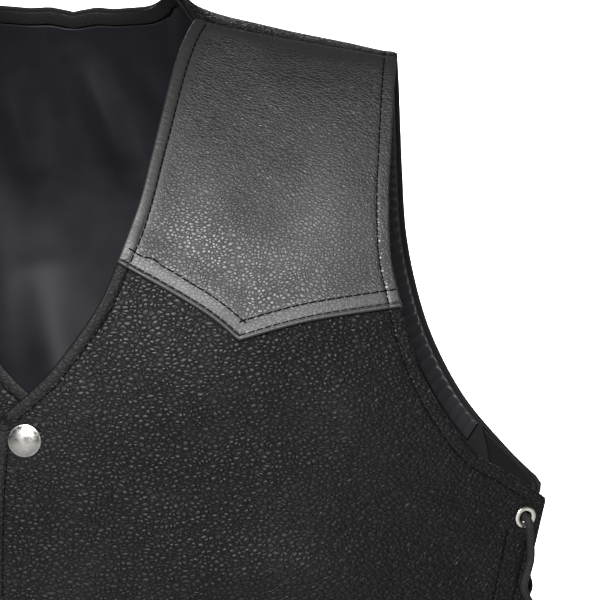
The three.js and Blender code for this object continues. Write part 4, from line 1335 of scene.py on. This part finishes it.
# A tube: rings square to the path, each ring's frame carried on from the one before
def tubePiece(name, path, radius, ringSides):
    count = len(path)
    way = unit(np.gradient(path, axis=0))
    aside = np.empty((count, 3))
    aside[0] = unit(np.cross(way[0], np.array([0.31, 0.2, 0.93])))
    for k in range(1, count):
        aside[k] = aside[k - 1] - way[k] * np.dot(aside[k - 1], way[k])
        aside[k] /= np.linalg.norm(aside[k])
    other = np.cross(way, aside)
    angle = np.arange(ringSides) * 2 * pi / ringSides
    rings = path[:, None] + (aside[:, None] * np.cos(angle)[:, None]
                             + other[:, None] * np.sin(angle)[:, None]) * radius
    ids = np.arange(count * ringSides).reshape(count, ringSides)
    after = np.roll(ids, -1, axis=1)
    walls = np.stack([ids[:-1], after[:-1], after[1:], ids[1:]], -1).reshape(-1, 4)
    total = count * ringSides
    caps = [[total, b, a] for a, b in zip(ids[0].tolist(), after[0].tolist())] + [
        [total + 1, a, b] for a, b in zip(ids[-1].tolist(), after[-1].tolist())]
    points = np.concatenate([rings.reshape(-1, 3), path[:1], path[-1:]]) * metres
    faces = [*walls.tolist(), *caps]
    mesh = bpy.data.meshes.new(name)
    mesh.from_pydata(points.tolist(), [], faces)
    mesh.polygons.foreach_set("use_smooth", np.ones(len(faces), bool))
    lengths = lengthsAlong(path) * metres
    onRings = np.stack([np.repeat(lengths, ringSides),
                        np.tile(np.arange(ringSides) / ringSides, count)], -1)
    addUv(mesh, np.concatenate([onRings, [[0, 0], [lengths[-1], 0]]]))
    piece = pieceOf(name, mesh, [laceCord])
    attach(piece, "root")
    return piece


# Stopper knot: the cord of an overhand knot, cos t + 2 cos 2t and sin t - 2 sin 2t, pressed flat
def knotPath(spots, i, height):
    t = np.linspace(0, 2 * pi, 91)[:, None]
    x = (np.cos(t) + 2 * np.cos(2 * t)) * lace["knotWidth"]
    y = (np.sin(t) - 2 * np.sin(2 * t)) * lace["knotWidth"]
    z = np.sin(3 * t) * lace["knotHeight"]
    return (spots["point"][i] + spots["out"][i] * height + spots["toGap"][i] * x
            + spots["down"][i] * y + spots["out"][i] * z)


for name in sides:
    path = rootSpacedCurve(laceRoute(name))
    length = lengthsAlong(path)[-1]
    path = respaced(path, int(length / lace["step"]))
    piece = tubePiece(f"lace_{name}_braid", path, lace["radius"], lace["sides"])
    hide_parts(f"lace_{name}")
    print(f"lace {name}: {length * metres:.3f} m")
    for k, place in enumerate(edgeDepth):
        height = eyelet["seat"] + eyelet["rim"] + cloth["seam"] + lace["knotOut"]
        path = knotPath(spotsOf[place, name], -1, height)
        knot = tubePiece(f"lace_knot_{name}_{place}", path, lace["knotRadius"], lace["knotSides"])
        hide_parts(f"lace_knot_{name}_{k + 1}")
print("laces made")

# Floor
floor = {"radius": 30, "z": -0.75, "sides": 64, "tone": (0.5, 0.5, 0.5, 1), "rough": 0.9}
angle = np.arange(floor["sides"]) * 2 * pi / floor["sides"]
points = np.stack([floor["radius"] * np.cos(angle), floor["radius"] * np.sin(angle),
                   np.full(floor["sides"], floor["z"])], -1)
floorMesh = bpy.data.meshes.new("floor")
floorMesh.from_pydata(points.tolist(), [], [list(range(floor["sides"]))])
floorMaterial = Finish("floor").surface({"Base Color": floor["tone"], "Roughness": floor["rough"]})
pieceOf("floor", floorMesh, [floorMaterial])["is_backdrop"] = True

low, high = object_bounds()
{"cad": [list(cadLow), list(cadHigh)], "visual": [list(low), list(high)]}
print("scene ready")
